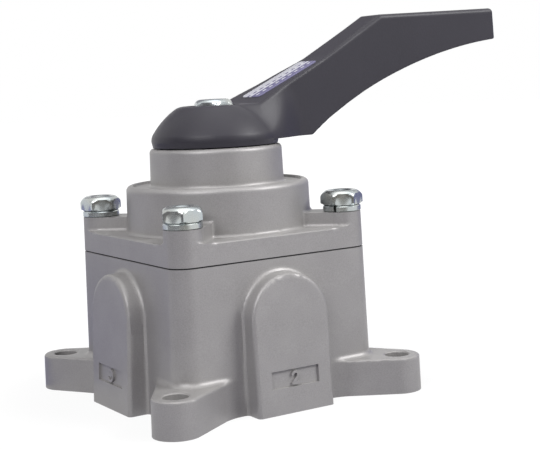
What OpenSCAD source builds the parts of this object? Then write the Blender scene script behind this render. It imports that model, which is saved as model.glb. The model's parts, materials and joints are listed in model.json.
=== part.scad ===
// Manual switching valve: a rotary disc valve with four ports and three lever positions.
// Frame: origin at the centre of the mounting face, on the spindle axis, with +Z up.
// The lever points along +X in its middle position. All lengths are in millimetres.

/* [Body casting] */
// Width of the square body at its mounting face
body_w = 80; // [78:0.5:86]
// Height of the body up to the cover joint
body_h = 51.6; // [48:0.5:60]
// Draft of the cast side walls, in degrees
draft = 1.3; // [0.5:0.1:2]
// Width of the arched pad on each side
pad_w = 30.2; // [26:0.2:34]
// How far a pad stands out from the body at the mounting face
pad_out = 7.4; // [5:0.2:9]
// Height of the top of a pad's arch
pad_h = 47.2; // [42:0.2:47.8]
// Backward lean of a pad's outer face, in degrees
pad_lean = 2.8; // [1:0.1:3.5]

/* [Port number panels] */
// Width of the sunk panel on each pad
panel_w = 18.8; // [14:0.2:22]
// Height of the sunk panel
panel_h = 6; // [6:0.2:9]
// Height of the panel's centre above the mounting face
panel_z = 11.9; // [8:0.1:20]
// Depth of the sunk panel
panel_depth = 0.8; // [0.4:0.1:1.2]
// Height of the raised numeral in a panel
numeral_h = 4.6; // [3.5:0.1:5.4]
// Width of the raised numeral
numeral_w = 3; // [2.4:0.1:4]
// Width of a numeral's strokes
numeral_line = 0.9; // [0.6:0.1:1.1]

/* [Mounting ears] */
// Distance between mounting holes along a side
hole_pitch = 89; // [87:0.5:93]
// Diameter of a mounting hole
hole_d = 8.5; // [6.5:0.5:10]
// Radius of an ear's round end at the mounting face
ear_r = 8.3; // [7.5:0.1:9.5]
// Height of an ear
ear_h = 12.6; // [8:0.2:16]
// Distance from the middle of a side to the foot of an ear's flank
ear_foot = 21.8; // [18:0.2:26]

/* [Ports] */
// Bore of a tapped port before its thread is cut
port_d = 18.6; // [14:0.2:19]
// Depth of a tapped port
port_depth = 16; // [12:0.5:20]
// Distance of a port's centre from the axis
port_r = 28; // [26:0.5:30]
// Diameter of the air ways and of the holes in the valve plate
way_d = 11; // [8:0.2:12]
// Distance of the valve plate's holes from the axis
way_r = 15; // [14:0.2:17]

/* [Valve plate and rotor] */
// Diameter of the recess that holds the valve plate
plate_seat_d = 54; // [50:0.5:56]
// Thickness of the valve plate
plate_t = 5.5; // [4:0.1:8]
// Clearance round the valve plate
plate_clear = 0.2; // [0.1:0.05:0.4]
// Section diameter of the seal round each way
way_seal_d = 1.4; // [1:0.1:1.8]
// Wall between an air way and the groove of its seal
seal_land = 1.1; // [0.8:0.1:1.6]
// Diameter of a dowel in the valve plate
dowel_d = 3; // [2:0.5:4]
// Length of a dowel
dowel_l = 9; // [7:0.5:12]
// Distance of a dowel from the axis
dowel_r = 21.5; // [20:0.5:22.5]
// Angle of one dowel; the other stands opposite
dowel_angle = 45; // [43:1:47]
// How far a dowel's top lies under the valve plate's face
dowel_sink = 0.5; // [0.2:0.1:1]
// Diameter of the rotor
rotor_d = 50; // [46:0.5:52]
// Height of the rotor
rotor_h = 8.5; // [7:0.1:9.5]
// Half angle of the rotor's supply notch and of its exhaust hollow
rotor_half_angle = 60; // [58:1:65]
// Depth of the exhaust hollow
exhaust_depth = 5; // [3:0.2:6]
// Gap between the rotor and the valve plate
face_gap = 0.1; // [0.05:0.05:0.2]

/* [Cover casting] */
// Thickness of the gasket between body and cover
gasket_t = 0.5; // [0.3:0.1:1]
// How far the gasket's edge is set back from the castings
gasket_set_back = 0.4; // [0:0.1:1]
// Clearance of the gasket's bore round the valve plate's recess
gasket_clear = 1; // [0.5:0.1:1.5]
// Height of the cover's square flange
flange_h = 7.3; // [6:0.1:10]
// Height of the corner bosses above the flange
boss_h = 5; // [2:0.1:7]
// How far a boss is set in from the flange's round corner
boss_inset = 0.15; // [0.05:0.05:0.5]
// Width of the web that joins a boss to the drum
boss_web_w = 12.6; // [8:0.2:12.8]
// How far the web's top lies under the boss's top
web_drop = 0.2; // [0.1:0.1:1]
// Diameter of the cover's drum at the flange
drum_d = 66.5; // [64:0.1:68]
// Height of the drum above the flange
drum_h = 16.7; // [14:0.1:20]
// Diameter of the cover's neck at the drum
neck_d = 48.2; // [46:0.2:50]
// Height of the neck above the drum
neck_h = 12.8; // [12:0.1:16]
// Diameter of the rotor chamber in the cover
chamber_d = 56; // [54:0.5:57]
// Thickness of the chamber's roof under the drum's shoulder
roof_t = 6.1; // [4:0.1:7]
// Depth of the shallow dish in the drum's shoulder
dish_depth = 0.8; // [0.3:0.1:1.5]
// Width of the raised rim round that dish
dish_rim = 2.6; // [1.5:0.1:4]
// Radius of the drum's rounded top edge
drum_edge = 1.8; // [0.5:0.1:2.5]
// Radius of the neck's rounded top edge
neck_edge = 1.5; // [0.5:0.1:2]
// Depth of the pocket in the neck that holds the index plate
pocket_depth = 6.9; // [6:0.1:8]

/* [Cover screws] */
// Distance of a cover screw's centre from the body's sides at the mounting face
screw_inset = 8; // [7.5:0.1:8.8]
// Diameter of the cover screws and of the lever bolt
screw_d = 8; // [6:0.5:8]
// Length of a cover screw under its head
screw_l = 30; // [24:1:34]
// Width of a hexagon head across its flats
head_flats = 13; // [12:0.1:13.6]
// Height of a hexagon head
head_h = 5.3; // [4:0.1:7]
// Height of the rounded top edge of a hexagon head
head_round_h = 1.6; // [0.8:0.1:2.2]
// Outer diameter of a spring washer
lock_washer_d = 13.4; // [12.5:0.1:13.6]
// Thickness of a spring washer
lock_washer_t = 2.2; // [1:0.1:2.5]
// Clearance of a screw in the hole that it passes through
screw_clear = 0.5; // [0.3:0.1:0.6]
// Depth of a tapped hole beyond the end of its screw
tap_run = 2; // [1:0.5:4]
// Turn of each cover screw's head, in degrees
head_turns = [8, 11, 5, 0]; // [-30:1:30]

/* [Spindle] */
// Diameter of the spindle's journal
journal_d = 16; // [15:0.2:17]
// Width of the square that carries the lever
square_w = 11; // [10.4:0.1:11.2]
// Width of the square that turns the rotor
drive_w = 10; // [9:0.1:10.4]
// Clearance round both squares
square_clear = 0.1; // [0.05:0.05:0.2]
// Diameter of the spindle's flange
collar_d = 32; // [28:0.5:36]
// Thickness of the spindle's flange
collar_t = 3.9; // [3:0.1:5]
// Thickness of the thrust washer above that flange
thrust_t = 1.7; // [1:0.1:2.5]
// End play of the spindle under the thrust washer
end_play = 0.3; // [0.2:0.05:0.4]
// Radial clearance of the journal in its bush
journal_clear = 0.05; // [0.02:0.01:0.09]
// Wall of the spindle's bush
bush_wall = 2.4; // [1.5:0.1:3]
// Length of the bush
bush_l = 10.5; // [8:0.1:11.5]
// Section diameter of the spindle's seal ring
ring_d = 1.7; // [1.2:0.1:2]
// Thickness of the conical springs that press the rotor down
disc_spring_t = 1; // [0.6:0.1:1.2]
// Outer diameter of those springs
disc_spring_d = 25; // [20:0.5:30]

/* [Index mechanism] */
// Angle of the lever's outer positions from the middle one, in degrees
lever_angle = 45; // [40:1:50]
// Diameter of the index plate
index_d = 38; // [37:0.2:39]
// Thickness of the index plate
index_t = 2.5; // [2:0.1:2.8]
// Gap between the pocket's floor and the index plate
index_gap = 1; // [0.8:0.05:1.2]
// Distance of the index balls and the stop pin from the axis
index_r = 15; // [14.6:0.1:15.4]
// Angle of each index ball from the lever's middle position
ball_angle = 60; // [56:1:62]
// Diameter of an index ball
ball_d = 5; // [4.5:0.1:5.2]
// Travel of an index ball from the plate's flat into a dimple
ball_lift = 0.8; // [0.5:0.05:1]
// Clearance of a ball in its hole
ball_clear = 0.05; // [0.02:0.01:0.1]
// Depth of a ball's hole below the pocket's floor
ball_hole_depth = 10.5; // [9:0.1:11]
// Wire diameter of a ball's spring
spring_wire = 0.7; // [0.5:0.05:0.8]
// Number of turns of a ball's spring
spring_turns = 4.5; // [3:0.5:5]
// Diameter of the stop pin
stop_d = 4; // [3:0.1:4.4]
// Length of the stop pin
stop_l = 8; // [6:0.1:8.3]
// Gap round the stop pin in the index plate's slot
stop_gap = 0.3; // [0.2:0.05:0.5]
// How much further that slot opens in its round ends
slot_ease = 0.1; // [0.05:0.05:0.3]
// Section width of the wiper ring in the top of the neck
wiper_w = 6; // [5:0.1:6.6]
// Height of the wiper ring
wiper_h = 2.6; // [1.5:0.1:3]

/* [Lever] */
// Gap between the lever's hub and the neck
hub_gap = 0.4; // [0.3:0.05:1]
// Largest radius of the lever's hub
hub_r = 23.2; // [22:0.1:24]
// Height of the hub's flat top above its underside
hub_h = 14.2; // [13:0.1:16]
// Height of the hub's widest line above its underside
hub_belly_h = 3; // [2:0.1:4]
// How much narrower the hub is at its underside
hub_tuck = 0.6; // [0.5:0.1:3]
// Radius of the hub's domed flank, seen from the side
hub_dome_r = 28; // [18:0.2:30]
// Radius of the hub's flat top
hub_top_r = 12.4; // [12:0.1:14]
// Diameter of the spigot under the hub
spigot_d = 28; // [25:0.5:28.5]
// Diameter of the sunk seat for the lever bolt
bolt_seat_d = 20; // [18:0.2:21]
// Depth of that seat
bolt_seat_depth = 6.9; // [5:0.1:7.5]
// Thickness of the flat washer under the lever bolt
flat_washer_t = 1.6; // [1:0.1:2]
// Diameter of the flat washer
flat_washer_d = 17; // [16:0.5:17.5]
// Length of the lever bolt under its head
bolt_l = 20; // [16:1:22]
// Turn of the lever bolt's head, in degrees
bolt_turn = 10; // [-30:1:30]
// Reach of the lever from the axis
lever_l = 128.2; // [110:0.5:150]
// Start of the lever's rising top face
rise_x = 11; // [10:0.5:12]
// Distance from the axis to the bend in the rising face
bend_x = 43.8; // [40:0.5:48]
// Height of that bend above the hub's flat top
bend_rise = 15.1; // [12:0.1:18]
// Distance from the axis to the top of the rise
crest_x = 71.2; // [66:0.5:76]
// Height of the crest above the hub's flat top
crest_rise = 31; // [26:0.1:34]
// Height of the lever's end above the hub's flat top
tip_rise = 32.8; // [28:0.1:36]
// Thickness of the lever's end
tip_h = 12.3; // [9:0.1:15]
// Distance from the axis to the start of the curved underside
under_x = 36.3; // [34:0.5:40]
// Height of the lever's straight underside above the hub's underside
under_h = 1.5; // [0.5:0.1:3]
// Radius of the curved underside
under_r = 198.6; // [150:1:260]
// Width of the lever at the start of the rise
lever_w_rise = 24.4; // [22:0.2:24.6]
// Width of the lever at the bend
lever_w_bend = 19; // [16:0.2:22]
// Width of the lever at the crest
lever_w_crest = 16.6; // [13:0.2:19]
// Width of the lever at its end
lever_w_tip = 15; // [11:0.2:17]
// Length of the plain panel on the rising face
label_l = 29; // [20:0.5:32]
// Width of that panel
label_w = 12; // [11:0.2:16.5]
// Thickness of that panel
label_t = 0.3; // [0.2:0.05:0.5]
// Distance from the start of the rise to the panel, along the face
label_start = 5; // [4:0.2:8]

/* [Hidden] */
// Facets of round shapes, of small helical shapes, and steps of a drawn arc
$fn = 96;
wire_sides = 6;
wire_steps = 12;
arc_steps = 10;
// Overshoot of a cut beyond the face that it opens
cut = 1;
// How far a flank runs back into the wall that it springs from
bury = 1;
// How far an ear's flank reaches past the centre of its hole, as a share of the hole's width
flank_share = 0.4;
// How far a round corner stands proud of the flat walls that run into it
corner_proud = 0.02;
// How much further an air way's round elbow reaches than the ways that meet in it
elbow_ease = 0.1;
// Slack of a screw's thread in its tapped hole
thread_slack = 0.05;
// Sides of a hexagon
hex = 6;

// Levels above the mounting face
cover_z = body_h + gasket_t;
flange_top_z = cover_z + flange_h;
boss_top_z = flange_top_z + boss_h;
drum_top_z = flange_top_z + drum_h;
neck_top_z = drum_top_z + neck_h;
roof_z = drum_top_z - roof_t;
plate_z = body_h - plate_t;
rotor_z = body_h + face_gap;
rotor_top_z = rotor_z + rotor_h;
collar_top_z = roof_z - thrust_t - end_play;
collar_z = collar_top_z - collar_t;
pocket_z = neck_top_z - pocket_depth;
index_z = pocket_z + index_gap;
index_top_z = index_z + index_t;
hub_z = neck_top_z + hub_gap;
hub_top_z = hub_z + hub_h;
bolt_seat_z = hub_top_z - bolt_seat_depth;
bolt_head_z = bolt_seat_z + flat_washer_t + lock_washer_t;
screw_head_z = boss_top_z + lock_washer_t;
spindle_top_z = bolt_seat_z - end_play;

// Places and sizes that follow from the driving ones
corner = body_w / 2 - screw_inset;
corner_r = screw_inset;
side_top = body_w / 2 - body_h * tan(draft);
corner_top_r = side_top - corner;
hole_at = hole_pitch / 2;
pad_face = body_w / 2 + pad_out;
pad_arch_z = pad_h - pad_w / 2;
boss_r = corner_top_r - flange_h * tan(draft) - boss_inset;
drum_top_d = drum_d - 2 * drum_h * tan(draft);
neck_top_d = neck_d - 2 * neck_h * tan(draft);
pocket_d = index_d + 2 * end_play;
bush_d = journal_d + 2 * journal_clear + 2 * bush_wall;
screw_hole_d = screw_d + 2 * screw_clear;
tapped_depth = screw_l - (screw_head_z - body_h) + tap_run;
ball_hole_d = ball_d + 2 * ball_clear;
ball_rest_gap = 0.1;
ball_z = index_z - ball_rest_gap - ball_d / 2;
dimple_slack = 0.15;
spring_d = ball_d - 2 * end_play;
spring_z = pocket_z - ball_hole_depth;
coil_r = (spring_d - spring_wire) / 2;
touch_r = (ball_d + spring_wire) / 2 + ball_clear;
spring_l = ball_z - sqrt(touch_r * touch_r - coil_r * coil_r) + spring_wire / 2 - spring_z;
way_seal_r = (way_d + way_seal_d) / 2 + seal_land;
far = 2 * lever_l;
socket_w = square_w + 2 * square_clear;
drive_socket_w = drive_w + 2 * square_clear;
wiper_bore = spigot_d + 2 * end_play;
wiper_z = neck_top_z - wiper_h - hub_gap;
rise_angle = atan2(bend_rise, bend_x - rise_x);

// Points on an arc of radius r round [x, z], from angle a0 to a1
function arc(x, z, r, a0, a1) =
    [for (i = [0 : arc_steps]) let (a = a0 + (a1 - a0) * i / arc_steps)
        [x + r * cos(a), z + r * sin(a)]];

// Centre of the circle of radius r through p and q that lies to the right of p to q
function arc_centre(p, q, r) =
    let (d = q - p, half = norm(d) / 2, rise = sqrt(r * r - half * half))
    (p + q) / 2 + rise * [d[1], -d[0]] / norm(d);

module at_corners() {
    for (k = [0 : 3]) rotate([0, 0, 90 * k]) children();
}

// Square block with cast draft, round corners and its base at z = 0;
// a negative lean makes it grow upwards
module drafted_square(half_base, height, lean) {
    half_top = half_base - height * tan(lean);
    for (turn = [0, 90]) rotate([90, 0, turn])
        linear_extrude(height = 2 * corner, center = true)
            polygon([[-half_base, 0], [half_base, 0], [half_top, height], [-half_top, height]]);
    at_corners() translate([corner, corner, 0])
        cylinder(h = height, r1 = half_base - corner + corner_proud,
            r2 = half_top - corner + corner_proud);
}

// Pad with an arched top and a leaning outer face, on the -Y side
module pad() {
    difference() {
        union() {
            translate([-pad_w / 2, -pad_face, 0]) cube([pad_w, pad_face, pad_arch_z]);
            translate([0, 0, pad_arch_z]) rotate([90, 0, 0]) cylinder(h = pad_face, d = pad_w);
        }
        on_pad_face() translate([-far / 2, -far, -far / 2]) cube([far, far, far]);
    }
}

// Frame of a pad's outer face: X along it, Z up it, -Y out of it
module on_pad_face() {
    translate([0, -pad_face, 0]) rotate([-pad_lean, 0, 0]) children();
}

// Plain numeral n from 1 to 4: bars lie across it at three levels, and each stem is
// half its height, on the left, in the middle or on the right
module numeral(n) {
    bars = [[], [0, 1, 2], [0, 1, 2], [1]][n - 1];
    stems = [[[0, 0], [0, 1]], [[1, 1], [-1, 0]], [[1, 1], [1, 0]],
        [[-1, 1], [1, 1], [1, 0]]][n - 1];
    step = (numeral_h - numeral_line) / 2;
    reach = (numeral_w - numeral_line) / 2;
    for (level = bars) translate([-numeral_w / 2, 0, level * step])
        cube([numeral_w, panel_depth, numeral_line]);
    for (stem = stems) translate([stem[0] * reach - numeral_line / 2, 0, stem[1] * step])
        cube([numeral_line, panel_depth, step + numeral_line]);
}

// Ear at the (+, +) corner: a round end round its hole, and two flanks that spread from it
// to the body's two sides
module ear() {
    translate([hole_at, hole_at, 0])
        cylinder(h = ear_h, r1 = ear_r, r2 = ear_r - ear_h * tan(draft));
    ear_flank();
    mirror([1, -1, 0]) ear_flank();
}

// Rib whose outer face runs into the ear's round end and stands on the body's +Y side
module ear_flank() {
    run = [hole_at - ear_foot, hole_at - body_w / 2];
    end_r = ear_r - corner_proud;
    turn = atan2(run[1], run[0]) + asin(end_r / norm(run));
    lean = ear_h * tan(draft);
    thick = ear_r + flank_share * hole_d;
    translate([ear_foot, body_w / 2, 0]) rotate([0, 0, turn])
        translate([-bury, 0, 0]) rotate([90, 0, 90])
            linear_extrude(height = sqrt(norm(run) * norm(run) - end_r * end_r) + bury)
                polygon([[0, 0], [-lean, ear_h], [-thick, ear_h], [-thick, 0]]);
}

// Way from a port to the seat of the valve plate
module air_way() {
    low = port_depth - way_d / 4;
    high = plate_z - way_d / 2;
    run = port_r - way_r;
    lean = atan2(run, high - low);
    translate([0, 0, -cut]) translate([port_r, 0, 0]) cylinder(h = port_depth + cut, d = port_d);
    translate([port_r, 0, low]) rotate([0, -lean, 0])
        cylinder(h = norm([run, high - low]), d = way_d);
    translate([way_r, 0, high]) cylinder(h = body_h - high, d = way_d);
    translate([way_r, 0, high]) sphere(d = way_d + 2 * elbow_ease);
}

module seal_groove() {
    difference() {
        cylinder(h = way_seal_d, r = way_seal_r + way_seal_d / 2);
        cylinder(h = way_seal_d, r = way_seal_r - way_seal_d / 2);
    }
}

module body_casting() {
    color([0.59, 0.58, 0.60]) difference() {
        union() {
            drafted_square(body_w / 2, body_h, draft);
            at_corners() { pad(); ear(); }
        }
        for (n = [1 : 4]) rotate([0, 0, 90 * (2 - n)]) on_pad_face()
            translate([0, 0, panel_z - panel_h / 2]) difference() {
                translate([-panel_w / 2, -cut, 0]) cube([panel_w, panel_depth + cut, panel_h]);
                translate([0, 0, (panel_h - numeral_h) / 2]) numeral(n);
            }
        translate([0, 0, plate_z]) cylinder(h = plate_t + cut, d = plate_seat_d);
        at_corners() {
            air_way();
            translate([way_r, 0, plate_z - way_seal_d]) seal_groove();
            translate([hole_at, hole_at, -cut]) cylinder(h = ear_h + 2 * cut, d = hole_d);
            translate([corner, corner, body_h - tapped_depth])
                cylinder(h = tapped_depth + cut, d = screw_d);
        }
        dowel_places() cylinder(h = plate_t + cut, d = dowel_d);
    }
}

module dowel_places() {
    for (turn = [0, 180]) rotate([0, 0, dowel_angle + turn])
        translate([dowel_r, 0, plate_z + plate_t - dowel_l - dowel_sink]) children();
}

module way_seals() {
    color([0.12, 0.12, 0.13]) at_corners() translate([way_r, 0, plate_z - way_seal_d / 2])
        rotate_extrude() translate([way_seal_r, 0]) circle(d = way_seal_d, $fn = 32);
}

module valve_plate() {
    color([0.72, 0.66, 0.50]) difference() {
        translate([0, 0, plate_z]) cylinder(h = plate_t, d = plate_seat_d - 2 * plate_clear);
        at_corners() translate([way_r, 0, plate_z - cut])
            cylinder(h = plate_t + 2 * cut, d = way_d);
        dowel_places() cylinder(h = dowel_l + cut, d = dowel_d);
    }
}

module plate_dowels() {
    color([0.75, 0.75, 0.77]) dowel_places() cylinder(h = dowel_l, d = dowel_d);
}

module joint_gasket() {
    color([0.15, 0.15, 0.16]) difference() {
        translate([0, 0, body_h]) drafted_square(side_top - gasket_set_back, gasket_t, 0);
        translate([0, 0, body_h - cut])
            cylinder(h = gasket_t + 2 * cut, d = plate_seat_d + 2 * gasket_clear);
        at_corners() translate([corner, corner, body_h - cut])
            cylinder(h = gasket_t + 2 * cut, d = screw_hole_d);
    }
}

// Half section of the cover's drum and neck, from the axis outwards
module cover_section() {
    drum_r = drum_top_d / 2;
    neck_r = neck_top_d / 2;
    dish_r = drum_r - dish_rim;
    polygon(concat(
        [[0, cover_z], [drum_d / 2, cover_z], [drum_d / 2, flange_top_z]],
        arc(drum_r - drum_edge, drum_top_z - drum_edge, drum_edge, 0, 90),
        [[dish_r, drum_top_z], [dish_r - dish_depth, drum_top_z - dish_depth],
            [neck_d / 2, drum_top_z - dish_depth]],
        arc(neck_r - neck_edge, neck_top_z - neck_edge, neck_edge, 0, 90),
        [[0, neck_top_z]]));
}

module cover_casting() {
    color([0.60, 0.59, 0.61]) difference() {
        union() {
            translate([0, 0, cover_z]) drafted_square(side_top, flange_h, draft);
            rotate_extrude() cover_section();
            at_corners() {
                translate([corner, corner, cover_z]) cylinder(h = flange_h + boss_h, r = boss_r);
                rotate([0, 0, 45]) translate([0, -boss_web_w / 2, cover_z])
                    cube([corner * sqrt(2), boss_web_w, flange_h + boss_h - web_drop]);
            }
        }
        translate([0, 0, cover_z - cut]) cylinder(h = roof_z - cover_z + cut, d = chamber_d);
        translate([0, 0, roof_z - cut]) cylinder(h = bush_l + cut, d = bush_d);
        translate([0, 0, roof_z]) cylinder(h = neck_h + roof_t, d = journal_d + 2 * end_play);
        translate([0, 0, pocket_z]) cylinder(h = pocket_depth + cut, d = pocket_d);
        translate([0, 0, wiper_z]) cylinder(h = neck_h, d = wiper_bore + 2 * wiper_w);
        at_corners() translate([corner, corner, cover_z - cut])
            cylinder(h = flange_h + boss_h + 2 * cut, d = screw_hole_d);
        ball_places() translate([0, 0, spring_z])
            cylinder(h = ball_hole_depth + cut, d = ball_hole_d);
        stop_place() cylinder(h = stop_l, d = stop_d);
    }
}

module ball_places() {
    for (side = [-1, 1]) ball_place(side) children();
}

module ball_place(side) {
    rotate([0, 0, side * ball_angle]) translate([index_r, 0, 0]) children();
}

// The stop pin stands opposite the lever and ends just under the index plate's top
module stop_place() {
    rotate([0, 0, 180]) translate([index_r, 0, index_top_z - end_play - stop_l]) children();
}

module hex_head() {
    flats_r = head_flats / 2;
    corners_r = flats_r / cos(180 / hex);
    difference() {
        intersection() {
            cylinder(h = head_h, r = corners_r, $fn = hex);
            union() {
                cylinder(h = head_h - head_round_h, r = corners_r);
                translate([0, 0, head_h - head_round_h])
                    cylinder(h = head_round_h, r1 = corners_r, r2 = flats_r - head_round_h / 2);
            }
        }
        translate([0, 0, head_h - head_round_h / 2])
            cylinder(h = head_round_h / 2 + cut, r1 = flats_r / 2, r2 = flats_r / 2 + head_round_h);
    }
}

// Split spring washer with its bore clear of the screw
module lock_washer() {
    difference() {
        cylinder(h = lock_washer_t, d = lock_washer_d);
        translate([0, 0, -cut]) cylinder(h = lock_washer_t + 2 * cut, d = screw_d + screw_clear);
        translate([0, -screw_clear, -cut])
            cube([lock_washer_d, 2 * screw_clear, lock_washer_t + 2 * cut]);
    }
}

module lock_washers() {
    color([0.78, 0.80, 0.82]) at_corners()
        translate([corner, corner, boss_top_z]) rotate([0, 0, 45]) lock_washer();
}

module cover_screws() {
    color([0.80, 0.82, 0.84]) for (k = [0 : 3]) rotate([0, 0, 90 * k])
        translate([corner, corner, screw_head_z]) {
            rotate([0, 0, head_turns[k]]) hex_head();
            translate([0, 0, -screw_l]) cylinder(h = screw_l, d = screw_d - 2 * thread_slack);
        }
}

module spindle_bush() {
    color([0.72, 0.55, 0.30]) translate([0, 0, roof_z]) difference() {
        cylinder(h = bush_l, d = bush_d);
        translate([0, 0, -cut]) cylinder(h = bush_l + 2 * cut, d = journal_d + 2 * journal_clear);
    }
}

module thrust_washer() {
    color([0.88, 0.86, 0.80]) translate([0, 0, roof_z - thrust_t]) difference() {
        cylinder(h = thrust_t, d = collar_d);
        translate([0, 0, -cut]) cylinder(h = thrust_t + 2 * cut, d = journal_d + 2 * end_play);
    }
}

module stop_pin() {
    color([0.70, 0.70, 0.72]) stop_place() cylinder(h = stop_l, d = stop_d);
}

// Coil of round wire round the Z axis, with flat ground ends
module coil_spring(mean_r, wire, turns, length) {
    rise = length - wire;
    last = ceil(turns * wire_steps);
    rings = [for (i = [0 : last]) let (t = i / last, a = 360 * turns * t)
        for (j = [0 : wire_sides - 1]) let (b = 360 * j / wire_sides,
            r = mean_r + wire / 2 * cos(b))
            [r * cos(a), r * sin(a), wire / 2 + rise * t + wire / 2 * sin(b)]];
    walls = [for (i = [0 : last - 1]) for (j = [0 : wire_sides - 1])
        let (a = i * wire_sides, b = a + wire_sides, n = (j + 1) % wire_sides)
        [a + j, b + j, b + n, a + n]];
    start = [for (j = [0 : wire_sides - 1]) j];
    end = [for (j = [wire_sides - 1 : -1 : 0]) last * wire_sides + j];
    polyhedron(points = rings, faces = concat(walls, [start, end]));
}

module index_spring(side) {
    color([0.70, 0.71, 0.73]) ball_place(side) translate([0, 0, spring_z])
        coil_spring(coil_r, spring_wire, spring_turns, spring_l);
}
module index_spring_a() { index_spring(1); }
module index_spring_b() { index_spring(-1); }

module index_ball(side) {
    color([0.80, 0.81, 0.83]) ball_place(side) translate([0, 0, ball_z]) sphere(d = ball_d);
}
module index_ball_a() { index_ball(1); }
module index_ball_b() { index_ball(-1); }

// Wiper ring that keeps dust out of the neck, with a groove in its top
module wiper_ring() {
    outer_d = wiper_bore + 2 * wiper_w;
    lip = wiper_w / 3;
    color([0.13, 0.13, 0.14]) translate([0, 0, wiper_z]) difference() {
        cylinder(h = wiper_h, d = outer_d);
        translate([0, 0, -cut]) cylinder(h = wiper_h + 2 * cut, d = wiper_bore);
        translate([0, 0, wiper_h / 2]) difference() {
            cylinder(h = wiper_h, d = outer_d - 2 * lip);
            cylinder(h = wiper_h, d = wiper_bore + 2 * lip);
        }
    }
}

module square_bar(width, height) {
    translate([-width / 2, -width / 2, 0]) cube([width, width, height]);
}

module spindle() {
    drive_z = rotor_z + rotor_h / 4;
    groove_d = journal_d - 2 * ring_d;
    color([0.74, 0.74, 0.76]) difference() {
        union() {
            translate([0, 0, drive_z]) square_bar(drive_w, collar_z - drive_z);
            translate([0, 0, collar_z]) cylinder(h = collar_t, d = collar_d);
            translate([0, 0, collar_top_z]) cylinder(h = index_z - collar_top_z, d = journal_d);
            translate([0, 0, index_z]) square_bar(square_w, spindle_top_z - index_z);
        }
        translate([0, 0, bolt_head_z - bolt_l - cut]) cylinder(h = bolt_l, d = screw_d);
        translate([0, 0, roof_z + bush_l / 2 - ring_d / 2]) difference() {
            cylinder(h = ring_d, d = journal_d + cut);
            cylinder(h = ring_d, d = groove_d);
        }
    }
}

module spindle_seal() {
    color([0.12, 0.12, 0.13]) translate([0, 0, roof_z + bush_l / 2])
        rotate_extrude() translate([(journal_d - ring_d) / 2, 0]) circle(d = ring_d, $fn = 32);
}

// Sector of a ring, open by half_angle each side of +X
module ring_sector(inner_r, outer_r, half_angle, height) {
    side = far * cos(half_angle);
    rise = far * sin(half_angle);
    intersection() {
        difference() {
            cylinder(h = height, r = outer_r);
            translate([0, 0, -cut]) cylinder(h = height + 2 * cut, r = inner_r);
        }
        linear_extrude(height = height) polygon([[0, 0], [side, -rise], [far, -rise],
            [far, rise], [side, rise]]);
    }
}

module rotor() {
    inner_r = way_r - way_d / 2;
    outer_r = way_r + way_d / 2;
    color([0.30, 0.31, 0.33]) translate([0, 0, rotor_z]) difference() {
        cylinder(h = rotor_h, d = rotor_d);
        translate([0, 0, -cut]) ring_sector(inner_r, rotor_d, rotor_half_angle, rotor_h + 2 * cut);
        rotate([0, 0, 180]) translate([0, 0, -cut])
            ring_sector(inner_r, outer_r, rotor_half_angle, exhaust_depth + cut);
        translate([0, 0, rotor_h / 4]) square_bar(drive_socket_w, rotor_h);
    }
}

// Two conical springs back to back between the rotor and the spindle's flange
module rotor_springs() {
    inner_r = drive_w / sqrt(2) + end_play;
    outer_r = disc_spring_d / 2;
    space = collar_z - rotor_top_z;
    half = space / 2;
    color([0.68, 0.69, 0.71]) translate([0, 0, rotor_top_z]) {
        conical_spring(inner_r, outer_r, half);
        translate([0, 0, space]) mirror([0, 0, 1]) conical_spring(inner_r, outer_r, half);
    }
}

// Dished ring whose inner edge lies on z = 0 and whose outer edge ends at z = height
module conical_spring(inner_r, outer_r, height) {
    t = disc_spring_t;
    rotate_extrude() polygon([[inner_r, 0], [inner_r + t / 2, 0], [outer_r, height - t],
        [outer_r, height], [outer_r - t / 2, height], [inner_r, t]]);
}

module index_plate() {
    slot_r = stop_d / 2 + stop_gap;
    color([0.66, 0.67, 0.70]) difference() {
        translate([0, 0, index_z]) cylinder(h = index_t, d = index_d);
        translate([0, 0, index_z - cut]) square_bar(socket_w, index_t + 2 * cut);
        translate([0, 0, index_z - cut]) rotate([0, 0, 180]) {
            ring_sector(index_r - slot_r, index_r + slot_r, lever_angle, index_t + 2 * cut);
            for (side = [-1, 1]) rotate([0, 0, side * lever_angle]) translate([index_r, 0, 0])
                cylinder(h = index_t + 2 * cut, r = slot_r + slot_ease);
        }
        for (turn = [-lever_angle, 0, lever_angle]) rotate([0, 0, turn]) ball_places()
            translate([0, 0, ball_z + ball_lift]) sphere(d = ball_d + 2 * dimple_slack);
    }
}

// Half section of the lever's hub: tucked underside, belly, domed flank and flat top
module hub_section() {
    belly = [hub_r, hub_z + hub_belly_h];
    crown = [hub_top_r, hub_top_z];
    centre = arc_centre(crown, belly, hub_dome_r);
    a0 = atan2(belly[1] - centre[1], belly[0] - centre[0]);
    a1 = atan2(crown[1] - centre[1], crown[0] - centre[0]);
    polygon(concat([[0, hub_z], [hub_r - hub_tuck, hub_z]],
        arc(centre[0], centre[1], hub_dome_r, a0, a1), [[0, hub_top_z]]));
}

// Side view of the lever, with its underside still straight where the curve is cut
module lever_side() {
    under_z = hub_z + under_h;
    polygon([[0, under_z], [under_x, under_z], [lever_l, under_z],
        [lever_l, hub_top_z + tip_rise], [crest_x, hub_top_z + crest_rise],
        [bend_x, hub_top_z + bend_rise], [rise_x, hub_top_z], [0, hub_top_z]]);
}

module lever_plan() {
    half = [[0, lever_w_rise], [rise_x, lever_w_rise], [bend_x, lever_w_bend],
        [crest_x, lever_w_crest], [lever_l, lever_w_tip]];
    last = len(half) - 1;
    polygon(concat([for (p = half) [p[0], p[1] / 2]],
        [for (i = [last : -1 : 0]) [half[i][0], -half[i][1] / 2]]));
}

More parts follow.
